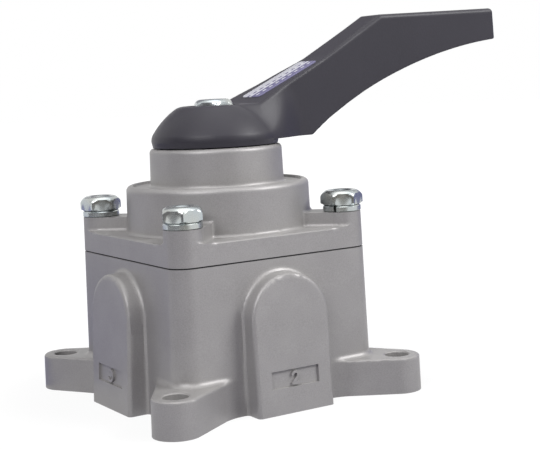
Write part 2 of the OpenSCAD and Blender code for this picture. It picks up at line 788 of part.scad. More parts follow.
module lever() {
    under_z = hub_z + under_h;
    start = [under_x, under_z];
    end = [lever_l, hub_top_z + tip_rise - tip_h];
    centre = arc_centre(start, end, under_r);
    color([0.28, 0.27, 0.30]) difference() {
        union() {
            rotate_extrude() hub_section();
            difference() {
                intersection() {
                    rotate([90, 0, 0]) linear_extrude(height = far, center = true) lever_side();
                    linear_extrude(height = far) lever_plan();
                }
                translate([centre[0], 0, centre[1]]) rotate([90, 0, 0])
                    cylinder(h = far, r = under_r, center = true);
            }
            translate([0, 0, index_top_z]) cylinder(h = hub_z - index_top_z + cut, d = spigot_d);
        }
        translate([0, 0, index_top_z - cut]) square_bar(socket_w, hub_h + pocket_depth);
        translate([0, 0, bolt_seat_z]) cylinder(h = lever_l, d = bolt_seat_d);
    }
}

module lever_label() {
    color([0.86, 0.86, 0.92]) translate([rise_x, 0, hub_top_z]) rotate([0, -rise_angle, 0])
        translate([label_start, -label_w / 2, 0]) cube([label_l, label_w, label_t]);
}

module flat_washer() {
    color([0.78, 0.79, 0.81]) translate([0, 0, bolt_seat_z]) difference() {
        cylinder(h = flat_washer_t, d = flat_washer_d);
        translate([0, 0, -cut])
            cylinder(h = flat_washer_t + 2 * cut, d = screw_d + screw_clear);
    }
}

module lever_lock_washer() {
    color([0.78, 0.80, 0.82]) translate([0, 0, bolt_seat_z + flat_washer_t]) lock_washer();
}

module lever_bolt() {
    color([0.80, 0.82, 0.84]) translate([0, 0, bolt_head_z]) {
        rotate([0, 0, bolt_turn]) hex_head();
        translate([0, 0, -bolt_l]) cylinder(h = bolt_l, d = screw_d - 2 * thread_slack);
    }
}

body_casting();
way_seals();
valve_plate();
plate_dowels();
joint_gasket();
cover_casting();
lock_washers();
cover_screws();
spindle_bush();
thrust_washer();
stop_pin();
index_spring_a();
index_spring_b();
wiper_ring();
index_ball_a();
index_ball_b();
spindle();
spindle_seal();
rotor();
rotor_springs();
index_plate();
lever();
lever_label();
flat_washer();
lever_lock_washer();
lever_bolt();
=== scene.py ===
"""Looks of a hand-operated rotary disc valve, laid out as an add-on and run as a script.

The two housing castings and the lever are solids given by a distance function, which is
negative inside, and are meshed on a grid. Fasteners, washers, port threads and the panel on
the lever are surfaces on a grid of two parameters. All lengths are in metres.
"""

import json
import math
from functools import partial, reduce
from types import SimpleNamespace

import bpy
import numpy as np
from bpy.props import FloatProperty, FloatVectorProperty, IntProperty, PointerProperty
from mathutils import Matrix, Vector


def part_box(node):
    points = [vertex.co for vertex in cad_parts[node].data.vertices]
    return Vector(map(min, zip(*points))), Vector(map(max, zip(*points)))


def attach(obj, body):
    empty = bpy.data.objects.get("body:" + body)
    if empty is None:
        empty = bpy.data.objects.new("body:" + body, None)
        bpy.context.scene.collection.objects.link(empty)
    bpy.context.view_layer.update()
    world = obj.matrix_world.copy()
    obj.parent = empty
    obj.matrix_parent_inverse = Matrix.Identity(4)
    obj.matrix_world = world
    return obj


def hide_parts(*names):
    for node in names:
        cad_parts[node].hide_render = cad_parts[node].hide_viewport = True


bl_info = {
    "name": "Rotary hand valve",
    "version": (1, 0, 0),
    "blender": (4, 5, 0),
    "location": "View3D > Sidebar > Hand valve",
    "description": "Castings, lever, fasteners and finishes of a rotary hand valve",
    "category": "Object",
}

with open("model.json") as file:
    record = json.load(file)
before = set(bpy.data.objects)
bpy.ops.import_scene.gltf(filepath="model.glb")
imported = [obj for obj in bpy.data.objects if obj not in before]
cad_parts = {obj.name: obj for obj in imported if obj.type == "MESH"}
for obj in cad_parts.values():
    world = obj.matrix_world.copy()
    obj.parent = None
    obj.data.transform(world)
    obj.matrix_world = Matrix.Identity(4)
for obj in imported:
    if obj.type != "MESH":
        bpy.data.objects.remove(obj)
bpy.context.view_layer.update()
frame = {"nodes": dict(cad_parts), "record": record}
MM = 0.001
TOP = {name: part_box(name)[1].z / MM for name in frame["nodes"]}
FOOT = {name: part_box(name)[0].z / MM for name in frame["nodes"]}
REACH = {name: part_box(name)[1].x / MM for name in frame["nodes"]}
CREASE = math.radians(32)
SENSOR = 36.0
MATERIALS = {}


def mm(name, millimetres, text):
    """A size of the object, given in millimetres and held in metres."""
    return FloatProperty(
        name=name, description=text, default=millimetres * MM, unit="LENGTH", precision=5)


def angle(name, degrees, text):
    """An angle of the object, given in degrees and held in radians."""
    return FloatProperty(
        name=name, description=text, default=math.radians(degrees), unit="ROTATION")


def share(name, value, text):
    """A number without a unit, such as a roughness."""
    return FloatProperty(name=name, description=text, default=value)


def colour(name, value, text):
    """A surface colour, in linear light."""
    return FloatVectorProperty(
        name=name, description=text, default=value, subtype="COLOR", size=3, min=0.0, max=1.0)


class BodySizes(bpy.types.PropertyGroup):
    """Sizes of the body casting."""

    half_width: mm("Half width", 40, "Half the square body's width at its foot")
    corner_at: mm("Corner centre", 32, "Centre of a round corner, along a side")
    draft: angle("Draft", 1.3, "Draft of the side walls")
    height: mm("Height", TOP["body_casting"], "Height of the joint")
    pad_half: mm("Pad half width", 15.1, "Half an arched pad's width")
    pad_face: mm("Pad face", 47.4, "From the axis to a pad's face, at its foot")
    pad_arch: mm("Arch centre", 32.1, "Height of the centre of a pad's arch")
    pad_lean: angle("Pad lean", 2.8, "Backward lean of a pad's face")
    pad_edge: mm("Pad edge", 1.4, "Radius of a pad's edge")
    pad_fillet: mm("Pad fillet", 1.4, "Fillet round a pad")
    ear_radius: mm("Ear radius", 8.3, "Radius of an ear's end")
    ear_at: mm("Ear hole", 44.5, "Place of an ear's hole, along a side")
    ear_foot: mm("Ear foot", 21.8, "From a side's middle to an ear's flank")
    ear_height: mm("Ear height", 12.6, "Height of an ear")
    ear_edge: mm("Ear edge", 0.9, "Radius of an ear's edge")
    ear_fillet: mm("Ear fillet", 2, "Fillet between ear and body")
    hole_radius: mm("Hole radius", 4.25, "Radius of a mounting hole")
    hole_edge: mm("Hole edge", 0.7, "Radius of a mounting hole's edge")
    panel_half: mm("Panel half width", 9.4, "Half a sunk panel's width")
    panel_rise: mm("Panel half height", 3, "Half a sunk panel's height")
    panel_z: mm("Panel height", 11.9, "Height of a sunk panel's centre")
    panel_depth: mm("Panel depth", 0.8, "Depth of a sunk panel")
    numeral_width: mm("Numeral width", 2.2, "Between the middles of its strokes")
    numeral_height: mm("Numeral height", 3.8, "Between the middles of its strokes")
    numeral_stroke: mm("Numeral stroke", 0.45, "Half a stroke's width")


class CoverSizes(bpy.types.PropertyGroup):
    """Sizes of the cover casting."""

    half_width: mm("Half width", 38.83, "Half the flange's width at the joint")
    base_z: mm("Joint height", FOOT["cover_casting"], "Height of its underside")
    flange_z: mm("Flange top", 59.4, "Height of the flange's top")
    flange_edge: mm("Flange edge", 0.8, "Radius of the flange's edge")
    boss_z: mm("Boss top", FOOT["lock_washers"], "Height of the corner bosses")
    web_half: mm("Web half width", 6.4, "Half the width of the web behind a boss")
    drum_radius: mm("Drum radius", 33.25, "Radius of the drum at the flange")
    drum_z: mm("Drum top", 76.1, "Height of the drum's rim")
    drum_edge: mm("Drum edge", 1.8, "Radius of the rim's edge")
    rim: mm("Rim width", 2.6, "Width of the raised rim")
    dish: mm("Dish depth", 0.8, "Depth of the dish inside the rim")
    neck_radius: mm("Neck radius", 24.1, "Radius of the neck at the drum")
    neck_z: mm("Neck top", TOP["cover_casting"], "Height of the neck")
    neck_edge: mm("Neck edge", 1.5, "Radius of the neck's edge")
    fillet: mm("Fillet", 1.2, "Fillets between walls and floors")


class LeverSizes(bpy.types.PropertyGroup):
    """Sizes of the lever."""

    hub_z: mm("Hub foot", 89.3, "Height of the hub's underside")
    roof_z: mm("Hub top", 103.5, "Height of the hub's flat top")
    hub_radius: mm("Hub radius", 23.2, "Largest radius of the hub")
    belly_z: mm("Belly height", 92.3, "Height of the hub's widest line")
    tuck: mm("Tuck", 0.6, "How much narrower the hub's underside is")
    crown_radius: mm("Crown radius", 12.4, "Radius of the hub's flat top")
    dome_radius: mm("Dome radius", 28, "Radius of the hub's flank, from the side")
    blend: mm("Side blend", 15, "Radius of the hollow between hub and handle")
    rise_x: mm("Rise start", 11, "Start of the rising face")
    bend_x: mm("Bend", 43.8, "Place of the bend in the rising face")
    bend_z: mm("Bend height", 118.6, "Height of that bend")
    crest_x: mm("Crest", 71.2, "Place of the crest")
    crest_z: mm("Crest height", 134.5, "Height of the crest")
    crest_soft: mm("Crest softness", 0.35, "How soft the crest is")
    tip_x: mm("Reach", REACH["lever"], "Reach of the lever")
    tip_z: mm("Tip height", TOP["lever"], "Height of the lever's end")
    tip_edge: mm("Tip edge", 2, "Radius of the end's edge")
    tip_lean: angle("Tip lean", 3.5, "Lean of the lever's end face")
    tip_under: mm("Tip underside", 124, "Height of the underside at the end")
    under_z: mm("Underside", 90.8, "Height of the straight underside")
    under_x: mm("Underside bend", 36.3, "Where the underside starts to curve")
    under_radius: mm("Underside radius", 198.6, "Radius of the curved underside")
    under_edge: mm("Underside edge", 0.3, "Radius of the handle's lower edges")
    width_rise: mm("Half width at the rise", 12.2, "Half the handle's width there")
    width_mid: mm("Half width on the rise", 9.75, "The same on the rising face")
    mid_x: mm("Place of that width", 34, "Where that width is measured")
    width_bend: mm("Half width at the bend", 8.0, "Half the handle's width there")
    width_neck: mm("Half width past the bend", 6.95, "The same short of the crest")
    neck_x: mm("Place of the neck", 62, "Where that width is measured")
    width_tip: mm("Half width at the tip", 7.5, "Half the handle's width at its end")
    crease: mm("Crease", 0.35, "Softness of the bends in the top face")
    near_edge: mm("Near edge", 0.8, "Edge radius of the top face near the hub")
    soft_edge: mm("Soft edge", 1.7, "Edge radius of the top face at the crest")
    seat_radius: mm("Bolt seat radius", 10, "Radius of the bolt's sunk seat")
    seat_z: mm("Bolt seat", FOOT["flat_washer"], "Height of that seat")


class FastenerSizes(bpy.types.PropertyGroup):
    """Sizes of screws, washers, port threads and the lever's panel."""

    flats: mm("Across flats", 13, "Width of a hexagon head across its flats")
    head_height: mm("Head height", 5.3, "Height of a hexagon head")
    shank: mm("Shank radius", 3.95, "Radius of a screw's thread crests")
    pitch: mm("Thread pitch", 1.25, "Pitch of the screws' thread")
    thread_depth: mm("Thread depth", 0.55, "Depth of the screws' thread")
    washer_inner: mm("Washer bore", 4.25, "Inner radius of every washer")
    washer_outer: mm("Spring washer radius", 6.7, "Outer radius of a spring washer")
    plain_outer: mm("Flat washer radius", 8.5, "Outer radius of the flat washer")
    split: angle("Split", 9, "Opening of a spring washer")
    port_crest: mm("Port thread crest", 9.3, "Radius at a port thread's crests")
    port_pitch: mm("Port thread pitch", 1.814, "Pitch of a port's thread")
    label_length: mm("Panel length", 29, "Length of the panel on the lever")
    label_width: mm("Panel width", 12, "Width of that panel")
    label_start: mm("Panel start", 5, "From the rise to the panel")
    label_round: mm("Panel corner", 1.6, "Corner radius of the panel")
    label_thick: mm("Panel thickness", 0.3, "Thickness of the panel")
    sectors: IntProperty(name="Sectors", description="Steps round a screw", default=72, min=12)


class Finishes(bpy.types.PropertyGroup):
    """Colours and gloss of the object's surfaces."""

    casting: colour("Casting paint", (0.318, 0.308, 0.303), "Silver grey paint")
    casting_metal: share("Casting metal", 0.28, "Share of metal flake in that paint")
    casting_gloss: share("Casting roughness", 0.44, "Roughness of that paint")
    coat: colour("Lever coat", (0.038, 0.036, 0.044), "Dark grey coat")
    coat_gloss: share("Lever roughness", 0.42, "Roughness of that coat")
    coat_shine: share("Lever shine", 0.25, "Strength of that coat's reflection")
    zinc: colour("Zinc", (0.50, 0.52, 0.52), "Bright plating of the fasteners")
    steel: colour("Steel", (0.52, 0.52, 0.53), "Ground steel")
    bronze: colour("Bronze", (0.48, 0.32, 0.14), "Bush and valve plate")
    rubber: colour("Rubber", (0.018, 0.018, 0.019), "Seals and gasket")
    plastic: colour("Plastic", (0.07, 0.075, 0.08), "Rotor")
    ivory: colour("Ivory plastic", (0.72, 0.68, 0.58), "Thrust washer")
    panel: colour("Panel", (0.66, 0.66, 0.72), "Pale part of the lever's panel")
    band: colour("Panel band", (0.15, 0.14, 0.25), "Blue violet band of the panel")


class StageSettings(bpy.types.PropertyGroup):
    """Camera, floor and the light from all round."""

    azimuth: angle("Azimuth", -31.765, "Direction that the camera looks from")
    elevation: angle("Elevation", 6.571, "Angle of the view above the floor")
    roll: angle("Roll", -2.68, "Turn of the camera about its view")
    distance: mm("Distance", 459.16, "From the target to the camera")
    aim_right: mm("Aim to the right", 18.32, "From the axis to the target")
    aim_up: mm("Aim height", 59.21, "Height of the target")
    lens: FloatProperty(
        name="Lens", description="Focal length for a 36 mm sensor", default=84.165,
        subtype="DISTANCE_CAMERA")
    floor_radius: mm("Floor", 4000, "Radius of the floor")
    floor_gap: mm("Floor gap", 0.05, "From the floor to the mounting face")
    ambient: share("Ambient", 0.12, "Strength of the light from all round")


def fixed(**sizes):
    """Sizes that ports and hidden pieces fix, given in millimetres and held in metres."""
    return SimpleNamespace(**{name: value * MM for name, value in sizes.items()})


BODY_INSIDE = fixed(
    port_radius=10.45, port_depth=16, port_at=28, way_radius=5.5, way_at=15,
    seat_radius=27, seat_z=FOOT["valve_plate"], tap_radius=4, tap_depth=17)
COVER_INSIDE = fixed(
    chamber_radius=28, roof_z=TOP["thrust_washer"], bush_radius=10.45,
    bush_z=TOP["spindle_bush"], bore_radius=8.3, pocket_radius=19.3, pocket_z=82,
    wiper_radius=20.3, wiper_z=FOOT["wiper_ring"], screw_hole=4.5, ball_hole=2.55,
    ball_x=7.5, ball_y=12.99, ball_z=FOOT["index_spring_a"], boss_overlap=0.05)
LEVER_INSIDE = fixed(spigot_radius=14, spigot_z=FOOT["lever"], socket_half=5.6)

GROUPS = {
    "valve_body": BodySizes,
    "valve_cover": CoverSizes,
    "valve_lever": LeverSizes,
    "valve_fasteners": FastenerSizes,
    "valve_finishes": Finishes,
    "valve_stage": StageSettings,
}


# Distance functions

def join(a, b, radius):
    """Union of two solids, with a concave fillet of the given radius where they meet squarely."""
    corner = np.hypot(np.maximum(radius - a, 0), np.maximum(radius - b, 0))
    return np.maximum(radius, np.minimum(a, b)) - corner


def meet(a, b, radius):
    """Intersection of two solids, with an edge of the given radius where they meet squarely."""
    return -join(-a, -b, radius)


def soft_lower(a, b, width):
    """The lower of two values, eased where they differ by less than width."""
    return np.minimum(a, b) - np.maximum(width - np.abs(a - b), 0) ** 2 / (4 * width)


def soft_upper(a, b, width):
    """The upper of two values, eased where they differ by less than width."""
    return -soft_lower(-a, -b, width)


def smooth_step(value, start, end):
    """0 before start, 1 after end, and 3t^2 - 2t^3 between them."""
    t = np.clip((value - start) / (end - start), 0, 1)
    return t * t * (3 - 2 * t)


def leaning(gap, rise, lean):
    """Distance to a wall that leans back by an angle as it rises."""
    return (gap + rise * math.tan(lean)) * math.cos(lean)


def diagonals(along, across):
    """Place along and beside the diagonal of a quarter of the plan."""
    return (along + across) / math.sqrt(2), np.abs(along - across) / math.sqrt(2)


def carved(solid, *cuts):
    """A solid less every one of the cuts."""
    return np.maximum(solid, -reduce(np.minimum, cuts))


def drafted_wall(x, y, rise, half_width, corner_at, draft):
    """Distance to a square wall with round corners: a rounded square that shrinks as it rises."""
    over_x, over_y = np.abs(x) - corner_at, np.abs(y) - corner_at
    outside = np.hypot(np.maximum(over_x, 0), np.maximum(over_y, 0))
    plan = outside + np.minimum(np.maximum(over_x, over_y), 0)
    return leaning(plan - (half_width - corner_at), rise, draft)


def arc(centre, radius, start, end, steps=8):
    """Points on an arc, from angle start to end in degrees."""
    turn = np.radians(np.linspace(start, end, steps + 1))
    return [(centre[0] + radius * math.cos(t), centre[1] + radius * math.sin(t)) for t in turn]


def numeral_strokes(number, width, height):
    """Middle lines of a plain numeral, as lists of points from its foot's middle."""
    a, b = width / 2, height
    bowl = a * 0.96
    foot = b / 2 - bowl / 24
    return {
        1: [[(-a * 0.8, b - a * 0.8), (a * 0.2, b), (a * 0.2, 0)]],
        2: [arc((0, b - a), a, 165, -35) + [(-a, 0), (a, 0)]],
        3: [arc((0, b - bowl), bowl, 150, -90) + arc((0, foot), foot, 90, -150)[1:]],
        4: [[(a * 0.5, 0), (a * 0.5, b), (-a, b * 0.3), (a, b * 0.3)]],
    }[number]


def stroke_distance(u, v, points):
    """Distance in the plane from (u, v) to a line through the points."""
    nearest = np.full(u.shape, np.inf)
    for (au, av), (bu, bv) in zip(points[:-1], points[1:]):
        du, dv = bu - au, bv - av
        along = np.clip(((u - au) * du + (v - av) * dv) / (du * du + dv * dv), 0, 1)
        nearest = np.minimum(nearest, np.hypot(u - au - along * du, v - av - along * dv))
    return nearest


def engraved_panels(s, x, y, z):
    """Distance to the space sunk in the four pads: a box less the numeral that stands in it.

    Each box is worked out for the points near its own pad, and the rest lie far outside.
    """
    space = np.full(x.shape, s.half_width)
    for number in (1, 2, 3, 4):
        turn = math.radians(90 * (1 - number))
        out = x * math.cos(turn) + y * math.sin(turn)
        u = y * math.cos(turn) - x * math.sin(turn)
        near = (out > s.half_width) & (np.abs(u) < 2 * s.panel_half) & (z < 2 * s.panel_z)
        if not near.any():
            continue
        out, u, v = out[near], u[near], z[near]
        above = leaning(out - s.pad_face, v, s.pad_lean)
        box = np.maximum(np.abs(u) - s.panel_half, np.abs(v - s.panel_z) - s.panel_rise)
        foot = s.panel_z - s.numeral_height / 2
        strokes = numeral_strokes(number, s.numeral_width, s.numeral_height)
        ink = np.min([stroke_distance(u, v - foot, line) for line in strokes], axis=0)
        sunk = np.maximum(box, -s.panel_depth - above)
        space[near] = np.maximum(sunk, s.numeral_stroke - ink)
    return space


def air_way(out, u, z, s=BODY_INSIDE):
    """Distance to a port and its air way: an upright, a slanted and an upright cylinder."""
    port = np.maximum(np.hypot(out - s.port_at, u) - s.port_radius, z - s.port_depth)
    low, high = s.port_depth - s.way_radius / 2, s.seat_z - s.way_radius
    run, rise = s.way_at - s.port_at, high - low
    span = math.hypot(run, rise)
    along = ((out - s.port_at) * run + (z - low) * rise) / span
    aside = ((out - s.port_at) * rise - (z - low) * run) / span
    slanted = np.maximum(np.hypot(aside, u) - s.way_radius, np.abs(along - span / 2) - span / 2)
    upright = np.maximum(np.hypot(out - s.way_at, u) - s.way_radius, high - z)
    elbow = np.sqrt((out - s.way_at) ** 2 + u * u + (z - high) ** 2) - s.way_radius
    return reduce(np.minimum, (port, slanted, upright, elbow))


def ear_outline(s, along, across):
    """Distance to an ear's outline: a circle, and the tangents to it from the body's two sides."""
    diagonal, aside = diagonals(along, across)
    back = (2 * s.ear_at - s.ear_foot - s.half_width) / math.sqrt(2)
    wide = (s.half_width - s.ear_foot) / math.sqrt(2)
    lean = math.atan2(wide, back) - math.asin(s.ear_radius / math.hypot(wide, back))
    diagonal = diagonal - s.ear_at * math.sqrt(2)
    beyond = diagonal * math.cos(lean) > aside * math.sin(lean)
    flank = diagonal * math.sin(lean) + aside * math.cos(lean)
    return np.where(beyond, np.hypot(diagonal, aside), flank) - s.ear_radius


def body_shape(s, x, y, z):
    """Distance to the body casting.

    A drafted square joins four arched pads and four ears with fillets. The ears' holes have round
    edges. Ports, air ways, screw holes, the valve plate's recess and sunk panels are taken away.
    """
    along, across = np.abs(x), np.abs(y)
    out, u = np.maximum(along, across), np.minimum(along, across)
    wall = drafted_wall(x, y, z, s.half_width, s.corner_at, s.draft)
    arch = np.hypot(u, np.maximum(z - s.pad_arch, 0)) - s.pad_half
    face = leaning(out - s.pad_face, z, s.pad_lean)
    solid = join(wall, meet(arch, face, s.pad_edge), s.pad_fillet)
    ear = ear_outline(s, along, across) + z * math.tan(s.draft)
    solid = join(solid, meet(ear, z - s.ear_height, s.ear_edge), s.ear_fillet)
    hole = np.hypot(along - s.ear_at, across - s.ear_at) - s.hole_radius
    solid = meet(solid, -hole, s.hole_edge)
    solid = np.maximum(solid, np.maximum(-z, z - s.height))
    screw = np.hypot(along - s.corner_at, across - s.corner_at) - BODY_INSIDE.tap_radius
    return carved(
        solid,
        air_way(out, u, z),
        np.maximum(np.hypot(x, y) - BODY_INSIDE.seat_radius, BODY_INSIDE.seat_z - z),
        np.maximum(screw, s.height - BODY_INSIDE.tap_depth - z),
        engraved_panels(s, x, y, z))


def cover_shape(s, corner_at, draft, x, y, z):
    """Distance to the cover casting.

    Drum and neck are cones with rounded rims. They and the corner bosses with their webs stand
    on the flange with fillets, and the flange's wall cuts the bosses flush outside. The chamber,
    the seats, the pocket and the holes are taken away.
    """
    hidden = COVER_INSIDE
    along, across = np.abs(x), np.abs(y)
    radius = np.hypot(x, y)
    slope = math.tan(draft)
    wall = drafted_wall(x, y, z - s.base_z, s.half_width, corner_at, draft)
    drum_side = radius - s.drum_radius + (z - s.flange_z) * slope
    drum = meet(drum_side, z - s.drum_z, s.drum_edge)
    dish_radius = s.drum_radius - (s.drum_z - s.flange_z) * slope - s.rim
    dish = np.maximum(radius - dish_radius, s.drum_z - s.dish - z)
    drum = meet(drum, -dish, s.fillet / 2)
    neck_side = radius - s.neck_radius + (z - s.drum_z) * slope
    tower = join(drum, meet(neck_side, z - s.neck_z, s.neck_edge), s.fillet)
    from_corner = np.hypot(along - corner_at, across - corner_at)
    boss_radius = s.half_width - corner_at - (z - s.base_z) * slope + hidden.boss_overlap
    diagonal, aside = diagonals(along, across)
    web = np.maximum(aside - s.web_half, diagonal - corner_at * math.sqrt(2))
    post = np.maximum(np.minimum(from_corner - boss_radius, web), z - s.boss_z)
    tower = join(tower, post, s.fillet)
    deck = join(z - s.flange_z, tower, s.fillet)
    reach = s.half_width - corner_at
    edge = s.flange_edge * smooth_step(from_corner, reach, 2 * reach)
    solid = np.maximum(meet(wall, deck, edge), s.base_z - z)
    ball = np.hypot(x - hidden.ball_x, across - hidden.ball_y) - hidden.ball_hole
    return carved(
        solid,
        np.maximum(radius - hidden.chamber_radius, z - hidden.roof_z),
        np.maximum(radius - hidden.bush_radius, z - hidden.bush_z),
        radius - hidden.bore_radius,
        np.maximum(radius - hidden.pocket_radius, hidden.pocket_z - z),
        np.maximum(radius - hidden.wiper_radius, hidden.wiper_z - z),
        from_corner - hidden.screw_hole,
        np.maximum(ball, hidden.ball_z - z))


def circle_through(p, q, radius):
    """Centre of the circle through p and q that lies to the right of the way from p to q."""
    run, rise = q[0] - p[0], q[1] - p[1]
    half = math.hypot(run, rise) / 2
    off = math.sqrt(radius * radius - half * half) / (2 * half)
    return (p[0] + q[0]) / 2 + rise * off, (p[1] + q[1]) / 2 - run * off


def face_height(x, z, start, end):
    """Distance above the slanted face through the points start and end, seen from the side."""
    run, rise = end[0] - start[0], end[1] - start[1]
    return ((z - start[1]) * run - (x - start[0]) * rise) / math.hypot(run, rise)


def lever_roof(s, x, z):
    """Height over the lever's top: flat over the hub, two rising faces, then nearly flat."""
    rise, bend = (s.rise_x, s.roof_z), (s.bend_x, s.bend_z)
    crest, tip = (s.crest_x, s.crest_z), (s.tip_x, s.tip_z)
    top = soft_lower(z - s.roof_z, face_height(x, z, rise, bend), s.crease)
    top = soft_lower(top, face_height(x, z, bend, crest), s.crease)
    return soft_upper(top, face_height(x, z, crest, tip), s.crest_soft)


def lever_shape(s, x, y, z):
    """Distance to the lever.

    The hub is a dome tucked in at its foot. The handle's sides join it with a hollow that grows
    from the axis to the hub's edge, and all that lies outside the hub ends at the curved
    underside. The roof cuts both, with an edge that grows softer towards the crest, and a leaning
    plane ends the handle. A spigot is added, and the bolt's seat and the socket are taken away.
    """
    radius = np.hypot(x, y)
    centre = circle_through(
        (s.crown_radius, s.roof_z), (s.hub_radius, s.belly_z), s.dome_radius)
    flank = np.hypot(radius - centre[0], z - centre[1]) - s.dome_radius
    foot_rise = s.belly_z - s.hub_z
    tuck = (radius - s.hub_radius + s.tuck) * foot_rise - (z - s.hub_z) * s.tuck
    hub = meet(flank, tuck / math.hypot(foot_rise, s.tuck), s.crease * 3)
    places = [s.rise_x, s.mid_x, s.bend_x, s.neck_x, s.crest_x, s.tip_x]
    widths = [s.width_rise, s.width_mid, s.width_bend, s.width_neck, s.width_neck, s.width_tip]
    side = np.abs(y) - np.interp(x, places, widths)
    under = circle_through((s.under_x, s.under_z), (s.tip_x, s.tip_under), s.under_radius)
    hollow = s.under_radius - np.hypot(x - under[0], z - under[1])
    below = meet(s.under_z - z, hollow, s.under_edge)
    blend = s.crease + s.blend * smooth_step(x, 0, s.hub_radius)
    solid = join(hub, np.maximum(side, -x), blend)
    solid = meet(solid, np.minimum(hub, below), s.under_edge)
    edge = s.near_edge + (s.soft_edge - s.near_edge) * smooth_step(x, s.mid_x, s.crest_x)
    solid = meet(solid, lever_roof(s, x, z), edge)
    end = x - s.tip_x - (s.tip_z - z) * math.sin(s.tip_lean)
    solid = meet(solid, end, s.tip_edge)
    solid = np.maximum(solid, s.hub_z - z)
    hidden = LEVER_INSIDE
    spigot = np.maximum(hidden.spigot_z - z, z - s.belly_z)
    spigot = np.maximum(radius - hidden.spigot_radius, spigot)
    seat = np.maximum(radius - s.seat_radius, s.seat_z - z)
    socket = np.maximum(np.maximum(np.abs(x), np.abs(y)) - hidden.socket_half, z - s.roof_z)
    return carved(np.minimum(solid, spigot), seat, socket)


# Meshing

def grid_lines(start, *spans):
    """Grid lines along one axis: each span gives its end and the step up to it."""
    lines = [np.array([start])]
    for end, step in spans:
        count = max(1, round((end - start) / step))
        lines.append(np.linspace(start, end, count + 1)[1:])
        start = end
    return np.concatenate(lines)


def mirrored(lines):
    """Grid lines on both sides of zero, from those on one side, which leave zero out."""
    return np.concatenate([-lines[::-1], lines])


def outward(shape, points, step=2e-6):
    """Unit normals: the distance function's slope along each axis, scaled to length one."""
    slopes = []
    for axis in range(3):
        ahead, behind = points.copy(), points.copy()
        ahead[:, axis] += step
        behind[:, axis] -= step
        slopes.append(shape(*ahead.T) - shape(*behind.T))
    normals = np.stack(slopes, axis=1)
    return normals / np.maximum(np.linalg.norm(normals, axis=1, keepdims=True), 1e-12)


def edge_crossings(shape, value, axes, axis):
    """Where the surface crosses the grid's edges along one axis, found by false position."""
    low, high = [slice(None)] * 3, [slice(None)] * 3
    low[axis], high[axis] = slice(0, -1), slice(1, None)
    start = np.argwhere((value[tuple(low)] < 0) != (value[tuple(high)] < 0))
    end = start.copy()
    end[:, axis] += 1
    p0 = np.stack([axes[a][start[:, a]] for a in range(3)], axis=1)
    p1 = np.stack([axes[a][end[:, a]] for a in range(3)], axis=1)
    v0, v1 = value[tuple(start.T)], value[tuple(end.T)]
    leaving = v0 < 0
    for _ in range(4):
        middle = p0 + (p1 - p0) * (v0 / (v0 - v1))[:, None]
        at_middle = shape(*middle.T)
        same = (at_middle < 0) == (v0 < 0)
        p0, v0 = np.where(same[:, None], middle, p0), np.where(same, at_middle, v0 / 2)
        p1, v1 = np.where(same[:, None], p1, middle), np.where(same, v1 / 2, at_middle)
    return start, leaving, middle


def contour(shape, axes):
    """Closed quad mesh of the surface where the distance function is zero.

    One vertex lies in each grid cell that the surface passes, at the point that fits the
    tangent planes at the cell's crossed edges best, so that sharp edges stay sharp. One quad
    lies across each crossed edge and joins the four cells round it.
    """
    value = shape(*np.meshgrid(*axes, indexing="ij"))
    counts = [len(a) - 1 for a in axes]
    cells, quads, points = [], [], []
    for axis in range(3):
        start, leaving, crossing = edge_crossings(shape, value, axes, axis)
        u, w = (axis + 1) % 3, (axis + 2) % 3
        ring = []
        for du, dw in ((1, 1), (0, 1), (0, 0), (1, 0)):
            cell = start.copy()
            cell[:, u] -= du
            cell[:, w] -= dw
            ring.append((cell[:, 0] * counts[1] + cell[:, 1]) * counts[2] + cell[:, 2])
        ring = np.stack(ring, axis=1)
        quads.append(np.where(leaving[:, None], ring, ring[:, ::-1]))
        cells.append(ring.ravel())
        points.append(np.repeat(crossing, 4, axis=0))
    points = np.concatenate(points)
    ids, place = np.unique(np.concatenate(cells), return_inverse=True)
    normals = outward(shape, points[::4]).repeat(4, axis=0)
    vertices = best_points(ids, place, points, normals, axes, counts)
    return vertices, [np.searchsorted(ids, np.concatenate(quads))]


def best_points(ids, place, points, normals, axes, counts, pull=0.02):
    """Point of each cell nearest to its tangent planes, drawn a little to their middle."""
    size = len(ids)
    number = np.bincount(place, minlength=size)

    def total(values):
        return np.bincount(place, weights=values, minlength=size)

    middle = np.stack([total(points[:, a]) for a in range(3)], axis=1) / number[:, None]
    offset = np.sum(normals * (points - middle[place]), axis=1)
    pulls = np.stack([total(normals[:, a] * offset) for a in range(3)], axis=1)
    matrix = np.stack(
        [total(normals[:, a] * normals[:, b]) for a in range(3) for b in range(3)], axis=1)
    matrix = matrix.reshape(-1, 3, 3) + pull * np.eye(3)
    best = middle + np.linalg.solve(matrix, pulls[:, :, None])[:, :, 0]
    where = np.stack(np.unravel_index(ids, counts), axis=1)
    lowest = np.stack([axes[a][where[:, a]] for a in range(3)], axis=1)
    highest = np.stack([axes[a][where[:, a] + 1] for a in range(3)], axis=1)
    return np.clip(best, lowest, highest)


def ring_grid(points, wrap_rows=False, wrap_columns=True, caps=True):
    """Vertices and arrays of faces of a grid of rows and columns, with closed ends."""
    rows, columns = points.shape[:2]
    index = np.arange(rows * columns).reshape(rows, columns)
    if wrap_rows:
        index = np.vstack([index, index[:1]])
    ring = np.hstack([index, index[:, :1]]) if wrap_columns else index
    quads = np.stack([ring[:-1, :-1], ring[:-1, 1:], ring[1:, 1:], ring[1:, :-1]], axis=-1)
    blocks = [quads.reshape(-1, 4)]
    if caps and not wrap_rows:
        blocks += [index[:1, ::-1], index[-1:]]
    if caps and not wrap_columns:
        blocks += [index[:-1, :1].T, index[-2::-1, -1:].T]
    return points.reshape(-1, 3), blocks


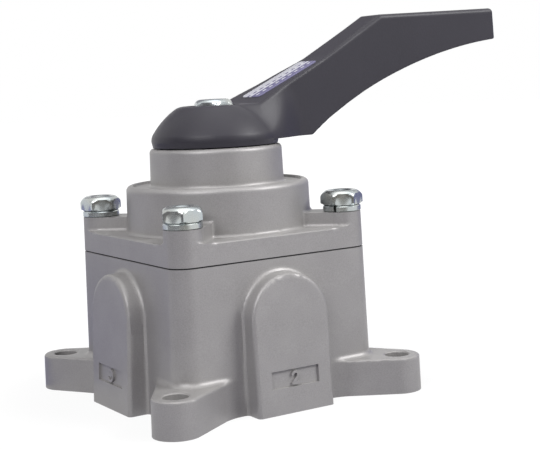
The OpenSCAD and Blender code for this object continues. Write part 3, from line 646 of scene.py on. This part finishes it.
def flipped(points, blocks):
    """The same surface with its faces turned round."""
    return points, [block[:, ::-1] for block in blocks]


def round_grid(centre, radius, turn, level):
    """Grid of points at the given radii, angles and heights round a centre."""
    x, y = centre[0] + radius * np.cos(turn), centre[1] + radius * np.sin(turn)
    return np.stack([x, y, level + 0 * x], axis=-1)


def new_object(name, points, blocks, material):
    """A mesh object of one material, linked to the scene."""
    mesh = bpy.data.meshes.new(name)
    mesh.from_pydata(points.tolist(), [], [face for block in blocks for face in block.tolist()])
    mesh.materials.append(material)
    made = bpy.data.objects.new(name, mesh)
    bpy.context.scene.collection.objects.link(made)
    return made


def add_piece(name, parts, body, slot, replaced):
    """One object from (vertices, faces) parts, smooth but for edges sharper than CREASE."""
    vertices, faces, base = [], [], 0
    for points, blocks in parts:
        vertices.append(points)
        faces += [block + base for block in blocks]
        base += len(points)
    piece = new_object(name, np.concatenate(vertices), faces, MATERIALS[slot])
    piece.data.validate()
    piece.data.shade_smooth()
    piece.data.set_sharp_from_angle(angle=CREASE)
    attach(piece, body)
    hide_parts(*replaced)


# Fasteners and panel

# Rows of a hexagon head, as shares of its height and of half its width across flats: the row's
# height, and the round limit of its radius. The last rows dish the top.
HEAD_ROWS = (
    (0, 0.93), (0.05, 1.02), (0.14, 1.2), (0.56, 1.2), (0.68, 1.12), (0.80, 1.03), (0.89, 0.95),
    (0.95, 0.88), (0.985, 0.82), (1, 0.74), (0.99, 0.66), (0.92, 0.56), (0.84, 0.44), (0.81, 0.3),
    (0.80, 0.12),
)


# Rows of a thread for each turn of it, and steps round a washer.
THREAD_ROWS = 6
RING_STEPS = 96


def thread_wave(levels, pitch, turn):
    """A helix as a triangle wave of height and angle, from 0 in its groove to 1."""
    return np.abs((levels[:, None] / pitch - turn / (2 * math.pi)) % 1 - 0.5) * 2


def screw_surface(s, centre, head_z, shank, head_turn):
    """A hexagon screw on a grid of height and angle, from the shank's tip to the dished top.

    The thread leaves a fifth of the shank plain and fades out over its last turn. The head's rows
    take the smaller of the hexagon and their round limit. A hexagon's radius is half its flats
    over the cosine to the nearest flat, and it has a corner at head_turn.
    """
    turn = np.linspace(0, 2 * math.pi, s.sectors, endpoint=False)
    thread_end = -shank / 5
    heights = np.arange(-shank + s.thread_depth, thread_end, s.pitch / THREAD_ROWS)
    wave = thread_wave(heights, s.pitch, turn)
    wave[-THREAD_ROWS:] *= np.linspace(1, 0, THREAD_ROWS)[:, None]
    thread = s.shank - s.thread_depth * wave
    sixth = math.pi / 3
    hexagon = s.flats / 2 / np.cos((turn - head_turn) % sixth - sixth / 2)
    rows = [(thread_end, s.shank), (0, s.shank)]
    rows += [(s.head_height * rise, s.flats / 2 * limit) for rise, limit in HEAD_ROWS]
    rows = np.array(rows)
    head = soft_lower(hexagon, rows[:, 1:], 0.02 * s.flats)
    tip = np.full((1, s.sectors), s.shank - 2 * s.thread_depth)
    level = np.concatenate([[-shank], heights, rows[:, 0]])[:, None]
    return ring_grid(round_grid(centre, np.vstack([tip, thread, head]), turn, head_z + level))


def washer_surface(node, inner, outer, centre, turn=0.0, split=0.0):
    """A ring of bevelled rectangular section at a node's height, split open at angle turn."""
    thick = (TOP[node] - FOOT[node]) * MM
    bevel = 0.18 * thick
    section = np.array([
        (inner + bevel, 0), (outer - bevel, 0), (outer, bevel), (outer, thick - bevel),
        (outer - bevel, thick), (inner + bevel, thick), (inner, thick - bevel), (inner, bevel)])
    angles = turn + np.linspace(
        split / 2, 2 * math.pi - split / 2, RING_STEPS, endpoint=bool(split))
    grid = round_grid(centre, section[:, 0], angles[:, None], FOOT[node] * MM + section[:, 1])
    return flipped(*ring_grid(grid, wrap_rows=not split, caps=bool(split)))


def port_thread(s, place, body=BODY_INSIDE):
    """Thread of a port: a sleeve whose inner radius is a triangle wave of height and angle.

    The wave is stretched and cut to flat crests, and fades in from the mouth.
    """
    turn = np.linspace(0, 2 * math.pi, s.sectors, endpoint=False)
    levels = np.arange(0.3 * s.port_pitch, body.port_depth, s.port_pitch / THREAD_ROWS)
    lead = smooth_step(levels, 0, 1.5 * s.port_pitch)[:, None]
    ridge = np.clip(1.25 * thread_wave(levels, s.port_pitch, turn) - 0.1, 0, 1) * lead
    inner = body.port_radius - (body.port_radius - s.port_crest) * ridge
    outer = np.full((1, s.sectors), body.port_radius + s.thread_depth)
    radius = np.vstack([outer, inner, outer])
    level = np.concatenate([levels[:1], levels, levels[-1:]])[:, None]
    return flipped(*ring_grid(round_grid(place, radius, turn, level), wrap_rows=True))


def rounded_outline(long, wide, corner, steps=8):
    """Points round a rectangle with round corners, anticlockwise from its right side."""
    turns = np.linspace(0, math.pi / 2, steps + 1)
    points = []
    for quarter, (sx, sy) in enumerate(((1, 1), (-1, 1), (-1, -1), (1, -1))):
        angles = turns + quarter * math.pi / 2
        points.append(np.stack([
            sx * (long / 2 - corner) + corner * np.cos(angles),
            sy * (wide / 2 - corner) + corner * np.sin(angles)], axis=1))
    return np.concatenate(points)


def rise_slope(lever):
    """Slope of the lever's rising face."""
    return math.atan2(lever.bend_z - lever.roof_z, lever.bend_x - lever.rise_x)


def label_surface(s, lever):
    """Thin plate on the lever's rising face: a rounded rectangle with a bevelled edge."""
    slope = rise_slope(lever)
    bevel = s.label_thick / 2
    rows = []
    for inset, level in ((0, -bevel), (0, bevel), (bevel / 2, 1.7 * bevel), (bevel, 2 * bevel)):
        edge = rounded_outline(
            s.label_length - 2 * inset, s.label_width - 2 * inset, s.label_round - inset)
        rows.append(np.column_stack([edge, np.full(len(edge), level)]))
    along, across, level = np.moveaxis(np.stack(rows), -1, 0)
    along = s.label_start + s.label_length / 2 + along
    placed = np.stack([
        lever.rise_x + along * math.cos(slope) - level * math.sin(slope), across,
        lever.roof_z + along * math.sin(slope) + level * math.cos(slope)], axis=-1)
    return ring_grid(placed)


# Shader maths

def arithmetic(operation, swapped=False):
    """A method of Wire that adds one Math node."""
    def method(self, other=0.0):
        first, second = (other, self) if swapped else (self, other)
        return self.sheet.node(
            "ShaderNodeMath", {"operation": operation}, {0: first, 1: second})
    return method


class Wire:
    """A shader's socket. Arithmetic on it adds Math nodes."""

    def __init__(self, sheet, socket):
        self.sheet = sheet
        self.socket = socket

    def beside(self, output):
        """Another output of the same node."""
        return Wire(self.sheet, self.socket.node.outputs[output])

    __add__ = __radd__ = arithmetic("ADD")
    __sub__ = arithmetic("SUBTRACT")
    __rsub__ = arithmetic("SUBTRACT", swapped=True)
    __mul__ = __rmul__ = arithmetic("MULTIPLY")
    __lt__ = arithmetic("LESS_THAN")
    __gt__ = arithmetic("GREATER_THAN")
    __abs__ = arithmetic("ABSOLUTE")
    upper = arithmetic("MAXIMUM")
    fraction = arithmetic("FRACT")


class Sheet:
    """A material or world under construction."""

    def __init__(self, owner):
        owner.use_nodes = True
        self.owner, self.tree = owner, owner.node_tree
        self.tree.nodes.clear()

    def node(self, kind, settings=None, inputs=None, output=0):
        """Adds a node with its settings, then its sockets' values or links, and wires it out."""
        made = self.tree.nodes.new(kind)
        for key, value in (settings or {}).items():
            setattr(made, key, value)
        for key, value in (inputs or {}).items():
            if isinstance(value, Wire):
                self.tree.links.new(value.socket, made.inputs[key])
            else:
                made.inputs[key].default_value = value
        return Wire(self, made.outputs[output]) if made.outputs else None

    def place(self):
        """Place on the object, in metres."""
        return self.node("ShaderNodeTexCoord", output="Object")

    def noise(self, scale, detail=2.0):
        """Soft noise from 0 to 1."""
        return self.node("ShaderNodeTexNoise", None, {
            "Vector": self.place(), "Scale": scale, "Detail": detail})

    def flecks(self, scale):
        """Distance to the nearest of scattered points."""
        return self.node("ShaderNodeTexVoronoi", None, {"Vector": self.place(), "Scale": scale})

    def blend(self, factor, first, second):
        """Mix of two colours."""
        return self.node("ShaderNodeMix", {"data_type": "RGBA"}, {
            "Factor": factor, 6: first, 7: second}, output=2)

    def tones(self, factor, tone, dark, light):
        """Mix of a darker and a lighter shade of one colour."""
        return self.blend(factor, shade(tone, dark), shade(tone, light))

    def bump(self, height, millimetres, strength):
        """Normal of a surface raised by a height of 0 to 1 times some millimetres."""
        return self.node("ShaderNodeBump", None, {
            "Height": height, "Distance": millimetres * MM, "Strength": strength})

    def surface(self, **inputs):
        """Principled shader from names with underscores, wired out. Gives the material."""
        sockets = {key.replace("_", " "): value for key, value in inputs.items()}
        return self.finish(self.node("ShaderNodeBsdfPrincipled", None, sockets))

    def finish(self, shader, kind="ShaderNodeOutputMaterial"):
        """Wires a shader to the output and gives the material or world."""
        self.node(kind, None, {"Surface": shader})
        return self.owner


def new_sheet(name):
    """A new material, ready for its nodes."""
    return Sheet(bpy.data.materials.new(name))


def shade(tone, factor):
    """A colour made lighter or darker, as the four numbers that a socket takes."""
    return (*[min(1.0, part * factor) for part in tone], 1.0)


def casting_paint(f):
    """Silver grey paint: fine flakes, a soft mottle, orange peel and a few dark specks.

    A speck lies close to a scattered point, and only where a slow noise is high.
    """
    sheet = new_sheet("casting_paint")
    mottle = sheet.noise(90, 3)
    grain = sheet.noise(2600, 1)
    tone = sheet.tones(mottle * 0.4 + grain * 0.6, f.casting, 0.72, 1.28)
    speck = (sheet.flecks(150) < 0.035) * (sheet.noise(60, 0) > 0.62)
    tone = sheet.blend(speck * 0.6, tone, shade(f.casting, 0.25))
    peel = sheet.noise(1100, 2)
    return sheet.surface(
        Base_Color=tone, Metallic=f.casting_metal, Roughness=f.casting_gloss - 0.06 + grain * 0.12,
        Normal=sheet.bump(peel * 0.6 + grain * 0.4, 0.06, 0.5))


def lever_coat(f):
    """Dark grey satin coat with a fine leathery grain and slight cloudiness."""
    sheet = new_sheet("lever_coat")
    cloud = sheet.noise(45, 3)
    grain = sheet.noise(1500, 2)
    tone = sheet.tones(cloud * 0.7 + grain * 0.3, f.coat, 0.82, 1.22)
    return sheet.surface(
        Base_Color=tone, Roughness=f.coat_gloss - 0.05 + grain * 0.1,
        Specular_IOR_Level=f.coat_shine, Normal=sheet.bump(grain, 0.05, 0.45))


def plated(name, tone, gloss):
    """Bright metal with faint clouds of tint and fine scratches along its surface."""
    sheet = new_sheet(name)
    cloud = sheet.noise(160, 2)
    scratch = sheet.noise(3200, 2)
    warm = (min(1.0, tone[0] * 1.04), tone[1], tone[2] * 0.9, 1.0)
    cool = (tone[0] * 0.86, tone[1] * 0.95, min(1.0, tone[2] * 1.06), 1.0)
    return sheet.surface(
        Base_Color=sheet.blend(cloud, cool, warm), Metallic=1.0,
        Roughness=gloss - 0.05 + cloud * 0.1, Normal=sheet.bump(scratch, 0.03, 0.25))


def moulded(name, tone, gloss):
    """Plain plastic or rubber with a fine matt grain."""
    sheet = new_sheet(name)
    grain = sheet.noise(1800, 2)
    return sheet.surface(
        Base_Color=sheet.tones(grain, tone, 0.85, 1.15),
        Roughness=gloss - 0.05 + grain * 0.1, Normal=sheet.bump(grain, 0.05, 0.4))


def panel_print(f, s, lever):
    """Printed panel: pale far side, violet near side and plain bars of both colours.

    A bar lies where the distance from a row's middle is small, and the bars repeat along it.
    """
    bars_per_metre = 320.0
    sheet = new_sheet("panel_print")
    mapped = sheet.node("ShaderNodeMapping", {"vector_type": "POINT"}, {
        "Vector": sheet.place(), "Rotation": (0.0, rise_slope(lever), 0.0)})
    along = sheet.node("ShaderNodeSeparateXYZ", None, {0: mapped}, "X")
    across = along.beside("Y")
    band = across < -s.label_width * 0.08
    pale = sheet.tones(sheet.noise(700, 2), f.panel, 0.9, 1.08)
    violet = sheet.tones(sheet.noise(700, 2), f.band, 0.85, 1.2)
    tone = sheet.blend(band, pale, violet)
    middle = abs(across - s.label_width * 0.1) < s.label_width * 0.05
    step = (along * bars_per_metre).fraction()
    tone = sheet.blend(middle * (step > 0.45), tone, violet)
    low = abs(across + s.label_width * 0.25) < s.label_width * 0.045
    tone = sheet.blend(low * (step < 0.5), tone, pale)
    return sheet.surface(
        Base_Color=tone, Roughness=0.38, Normal=sheet.bump(sheet.noise(900), 0.03, 0.3))


def finish_table(f, s, lever):
    """Every material of the record, by its slot."""
    return {
        "casting": casting_paint(f),
        "lever_casting": lever_coat(f),
        "zinc_steel": plated("zinc_plate", f.zinc, 0.26),
        "spring_steel": plated("spring_steel", f.steel, 0.3),
        "ground_steel": plated("ground_steel", f.steel, 0.22),
        "plate_bronze": plated("plate_bronze", f.bronze, 0.3),
        "bush_bronze": plated("bush_bronze", shade(f.bronze, 0.9)[:3], 0.35),
        "gasket": moulded("gasket_rubber", f.rubber, 0.75),
        "seal": moulded("seal_rubber", f.rubber, 0.6),
        "rotor_plastic": moulded("rotor_plastic", f.plastic, 0.5),
        "washer_plastic": moulded("washer_plastic", f.ivory, 0.4),
        "label": panel_print(f, s, lever),
    }


class VALVE_OT_finishes(bpy.types.Operator):
    """Make every material and give it to the construction's own pieces."""

    bl_idname = "valve.finishes"
    bl_label = "Finishes"

    def execute(self, context):
        scene = context.scene
        MATERIALS.update(
            finish_table(scene.valve_finishes, scene.valve_fasteners, scene.valve_lever))
        for row in frame["record"]["subparts"]:
            mesh = frame["nodes"][row["node"]].data
            mesh.materials.clear()
            mesh.materials.append(MATERIALS[row["material_slot"]])
        return {"FINISHED"}


class VALVE_OT_body(bpy.types.Operator):
    """Model the body casting, finer where the numerals are.

    Thin cells at both ends of the height keep the foot and the joint flat.
    """

    bl_idname = "valve.body"
    bl_label = "Body casting"

    def execute(self, context):
        s = context.scene.valve_body
        coarse, fine = 0.92 * MM, 0.5 * MM
        edge, face = s.panel_half + fine, s.pad_face - 2 * MM
        far = s.ear_at + s.ear_radius + MM
        across = mirrored(grid_lines(
            fine / 2, (edge, fine), (face, coarse), (s.pad_face + fine, fine), (far, coarse)))
        low, high = s.panel_z - s.panel_rise - fine, s.panel_z + s.panel_rise + fine
        thin = fine / 50
        levels = grid_lines(-thin, (low, coarse), (high, fine), (s.height + thin, coarse))
        casting = contour(partial(body_shape, s), (across, across, levels))
        add_piece("body_shell", [casting], "housing", "casting", ["body_casting"])
        return {"FINISHED"}


class VALVE_OT_cover(bpy.types.Operator):
    """Model the cover casting with its drum, neck and corner bosses."""

    bl_idname = "valve.cover"
    bl_label = "Cover casting"

    def execute(self, context):
        s, body = context.scene.valve_cover, context.scene.valve_body
        step = 0.62 * MM
        across = mirrored(grid_lines(step / 2, (s.half_width + step, step)))
        levels = grid_lines(s.base_z - step / 2, (s.neck_z + step, step))
        shape = partial(cover_shape, s, body.corner_at, body.draft)
        casting = contour(shape, (across, across, levels))
        add_piece("cover_shell", [casting], "housing", "casting", ["cover_casting"])
        return {"FINISHED"}


class VALVE_OT_lever(bpy.types.Operator):
    """Model the lever and the panel on its rising face.

    The grid starts between whole steps, so that none of its lines lies in a flat face.
    """

    bl_idname = "valve.lever"
    bl_label = "Lever"

    def execute(self, context):
        s = context.scene.valve_lever
        step = 0.5 * MM
        along = grid_lines(-s.hub_radius - 1.3 * step, (s.tip_x + 3 * step, step))
        across = mirrored(grid_lines(step / 2, (s.hub_radius + 2 * step, step)))
        levels = grid_lines(LEVER_INSIDE.spigot_z - 0.6 * step, (s.tip_z + step, step))
        handle = contour(partial(lever_shape, s), (along, across, levels))
        panel = label_surface(context.scene.valve_fasteners, s)
        add_piece("lever_handle", [handle], "lever_set", "lever_casting", ["lever"])
        add_piece("lever_panel", [panel], "lever_set", "label", ["lever_label"])
        return {"FINISHED"}


class VALVE_OT_fasteners(bpy.types.Operator):
    """Model the cover screws, the lever bolt and their washers."""

    bl_idname = "valve.fasteners"
    bl_label = "Screws and washers"

    def execute(self, context):
        s, at = context.scene.valve_fasteners, context.scene.valve_body.corner_at
        corners = ((at, at, 8, 45), (-at, at, 101, 60), (-at, -at, 185, 20), (at, -at, 270, -146))
        head_z, tip_z = TOP["lock_washers"] * MM, FOOT["cover_screws"] * MM
        bolt_z, bolt_tip = TOP["lever_lock_washer"] * MM, FOOT["lever_bolt"] * MM
        inner, outer, middle = s.washer_inner, s.washer_outer, (0, 0)
        screws = [
            screw_surface(s, (x, y), head_z, head_z - tip_z, math.radians(turn))
            for x, y, turn, _ in corners]
        rings = [
            washer_surface("lock_washers", inner, outer, (x, y), math.radians(turn), s.split)
            for x, y, _, turn in corners]
        plain = washer_surface("flat_washer", inner, s.plain_outer, middle)
        ring = washer_surface("lever_lock_washer", inner, outer, middle, math.pi / 2, s.split)
        bolt = screw_surface(s, middle, bolt_z, bolt_z - bolt_tip, math.radians(10))
        for name, parts, body, node in (
                ("cover_screw_set", screws, "housing", "cover_screws"),
                ("lock_washer_set", rings, "housing", "lock_washers"),
                ("hub_flat_washer", [plain], "lever_set", "flat_washer"),
                ("hub_lock_washer", [ring], "lever_set", "lever_lock_washer"),
                ("hub_bolt", [bolt], "lever_set", "lever_bolt")):
            add_piece(name, parts, body, "zinc_steel", [node])
        return {"FINISHED"}


class VALVE_OT_threads(bpy.types.Operator):
    """Model the threads of the four ports in the mounting face."""

    bl_idname = "valve.threads"
    bl_label = "Port threads"

    def execute(self, context):
        s, at = context.scene.valve_fasteners, BODY_INSIDE.port_at
        parts = [port_thread(s, place) for place in ((at, 0), (0, at), (-at, 0), (0, -at))]
        add_piece("port_threads", parts, "housing", "casting", [])
        return {"FINISHED"}


def camera_matrix(s):
    """The camera's place and turn: elevation, then azimuth, then the shift from the axis."""
    view = Matrix.Rotation(s.azimuth, 4, "Z") @ Matrix.Rotation(math.pi / 2 - s.elevation, 4, "X")
    place = view @ Vector((s.aim_right, 0, s.distance)) + Vector((0, 0, s.aim_up))
    return Matrix.Translation(place) @ view @ Matrix.Rotation(s.roll, 4, "Z")


def add_lamp(name, place, target, size, power, tint):
    """A square soft lamp at a place, aimed at a target."""
    lamp = bpy.data.lights.new(name, "AREA")
    lamp.shape, lamp.size = "SQUARE", size
    lamp.energy, lamp.color = power, tint
    holder = bpy.data.objects.new(name, lamp)
    aim = (Vector(target) - Vector(place)).to_track_quat("-Z", "Y")
    holder.matrix_world = Matrix.Translation(place) @ aim.to_matrix().to_4x4()
    bpy.context.scene.collection.objects.link(holder)


# Name, place, size, power and tint of each lamp.
LAMPS = (
    ("lamp_top", (0.05, -0.1, 1.1), 0.9, 3.0, (1, 1, 1)),
    ("lamp_right", (0.75, -0.75, 0.85), 0.6, 14.2, (1, 1, 1)),
    ("lamp_left", (-0.58, -0.35, 0.55), 0.45, 4.9, (0.98, 0.98, 1.0)),
)

# Name, first and last angle, radius and height of both long edges, and tone of each card.
CARDS = (
    ("card_front", -134, -88, (0.42, 0), (0.42, 0.3), (0.15, 0.13, 0.11)),
    ("card_left", 156, 226, (0.42, 0), (0.42, 0.4), (0.12, 0.11, 0.12)),
    ("card_back", 96, 134, (0.42, 0), (0.42, 0.018), (0.26, 0.26, 0.38)),
    ("card_right", -20, 40, (0.42, 0), (0.42, 0.22), (0.24, 0.24, 0.42)),
    ("card_high", 50, 100, (0.42, 0.24), (0.42, 0.6), (0.30, 0.29, 0.33)),
    ("card_low", 95, 150, (0.07, 0.001), (0.42, 0.001), (0.40, 0.40, 0.62)),
)


def add_card(name, start, end, first, second, tone):
    """Curved card that only reflections show: a strip from one radius and height to another."""
    turn = np.radians(np.linspace(start, end, 17))
    radius, level = np.array([first, second]).T[:, :, None]
    points, blocks = ring_grid(
        round_grid((0, 0), radius, turn, level), wrap_columns=False, caps=False)
    sheet = new_sheet(name)
    glow = sheet.node("ShaderNodeEmission", None, {"Color": (*tone, 1), "Strength": 1.0})
    card = new_object(name, points, blocks, sheet.finish(glow))
    card.visible_camera = card.visible_diffuse = card.visible_shadow = False


def seen_directly(sheet):
    """1 for rays from the camera and for reflected and refracted ones, else 0."""
    camera = sheet.node("ShaderNodeLightPath", output="Is Camera Ray")
    reflected, refracted = camera.beside("Is Glossy Ray"), camera.beside("Is Transmission Ray")
    return camera.upper(reflected).upper(refracted)


def white_world(strength):
    """A world that looks white and lights the object softly from all round.

    Its strength is 1 for rays that see it directly, and the given strength for the others.
    """
    sheet = Sheet(bpy.data.worlds.new("studio"))
    light = sheet.node("ShaderNodeBackground", None, {
        "Color": (1, 1, 1, 1), "Strength": seen_directly(sheet) * (1 - strength) + strength})
    return sheet.finish(light, "ShaderNodeOutputWorld")


def floor_finish():
    """White floor with a faint shadow near the object, which throws little light on it.

    The shadow fades out between 60 and 140 mm from the axis.
    """
    sheet = new_sheet("floor_white")
    plain = sheet.node("ShaderNodeBsdfDiffuse", None, {"Color": (0.5, 0.5, 0.5, 1)})
    glow = sheet.node("ShaderNodeEmission", None, {"Color": (1, 1, 1, 1), "Strength": 1.1})
    away = sheet.node("ShaderNodeVectorMath", {"operation": "LENGTH"}, {0: sheet.place()}, "Value")
    fade = sheet.node("ShaderNodeMapRange", {"interpolation_type": "SMOOTHSTEP"}, {
        "Value": away, "From Min": 0.06, "From Max": 0.14, "To Min": 0.82, "To Max": 1.0})
    lit = sheet.node("ShaderNodeMixShader", None, {0: fade, 1: plain, 2: glow})
    dim = sheet.node("ShaderNodeBsdfDiffuse", None, {"Color": (0.12, 0.11, 0.20, 1)})
    return sheet.finish(
        sheet.node("ShaderNodeMixShader", None, {0: seen_directly(sheet), 1: dim, 2: lit}))


class VALVE_OT_stage(bpy.types.Operator):
    """Set up the floor, the lamps, the cards, the world and the camera."""

    bl_idname = "valve.stage"
    bl_label = "Stage"

    def execute(self, context):
        s, scene = context.scene.valve_stage, context.scene
        turn = np.linspace(0, 2 * math.pi, 64, endpoint=False)
        rim = round_grid((0, 0), s.floor_radius, turn, -s.floor_gap)
        floor = new_object("floor", rim, [np.arange(len(rim))[None]], floor_finish())
        middle = (0.02, 0, 0.06)
        for name, place, size, power, tint in LAMPS:
            add_lamp(name, place, middle, size, power, tint)
        for card in CARDS:
            add_card(*card)
        scene.world = white_world(s.ambient)
        camera = bpy.data.cameras.new("camera")
        camera.lens, camera.sensor_width = s.lens, SENSOR
        camera.clip_start, camera.clip_end = 0.01, 20.0
        holder = bpy.data.objects.new("camera", camera)
        holder.matrix_world = camera_matrix(s)
        scene.collection.objects.link(holder)
        scene.camera = holder
        scene.view_settings.view_transform = "Standard"
        return {"FINISHED"}


STEPS = (
    VALVE_OT_stage, VALVE_OT_finishes, VALVE_OT_body, VALVE_OT_cover, VALVE_OT_lever,
    VALVE_OT_fasteners, VALVE_OT_threads)


class VALVE_PT_panel(bpy.types.Panel):
    """Steps that build the valve's looks."""

    bl_idname = "VALVE_PT_panel"
    bl_label = "Hand valve"
    bl_space_type = "VIEW_3D"
    bl_region_type = "UI"
    bl_category = "Hand valve"

    def draw(self, context):
        for step in STEPS:
            self.layout.operator(step.bl_idname)


def register():
    """Register the classes and hang the groups of settings on the scene."""
    for group in GROUPS.values():
        bpy.utils.register_class(group)
    for name, group in GROUPS.items():
        setattr(bpy.types.Scene, name, PointerProperty(type=group))
    for item in (*STEPS, VALVE_PT_panel):
        bpy.utils.register_class(item)


def unregister():
    """Undo register."""
    for item in (VALVE_PT_panel, *reversed(STEPS)):
        bpy.utils.unregister_class(item)
    for name, group in GROUPS.items():
        delattr(bpy.types.Scene, name)
        bpy.utils.unregister_class(group)


def main():
    """Build everything in order."""
    register()
    for step in STEPS:
        group, action = step.bl_idname.split(".")
        getattr(getattr(bpy.ops, group), action)()


if __name__ == "__main__":
    main()
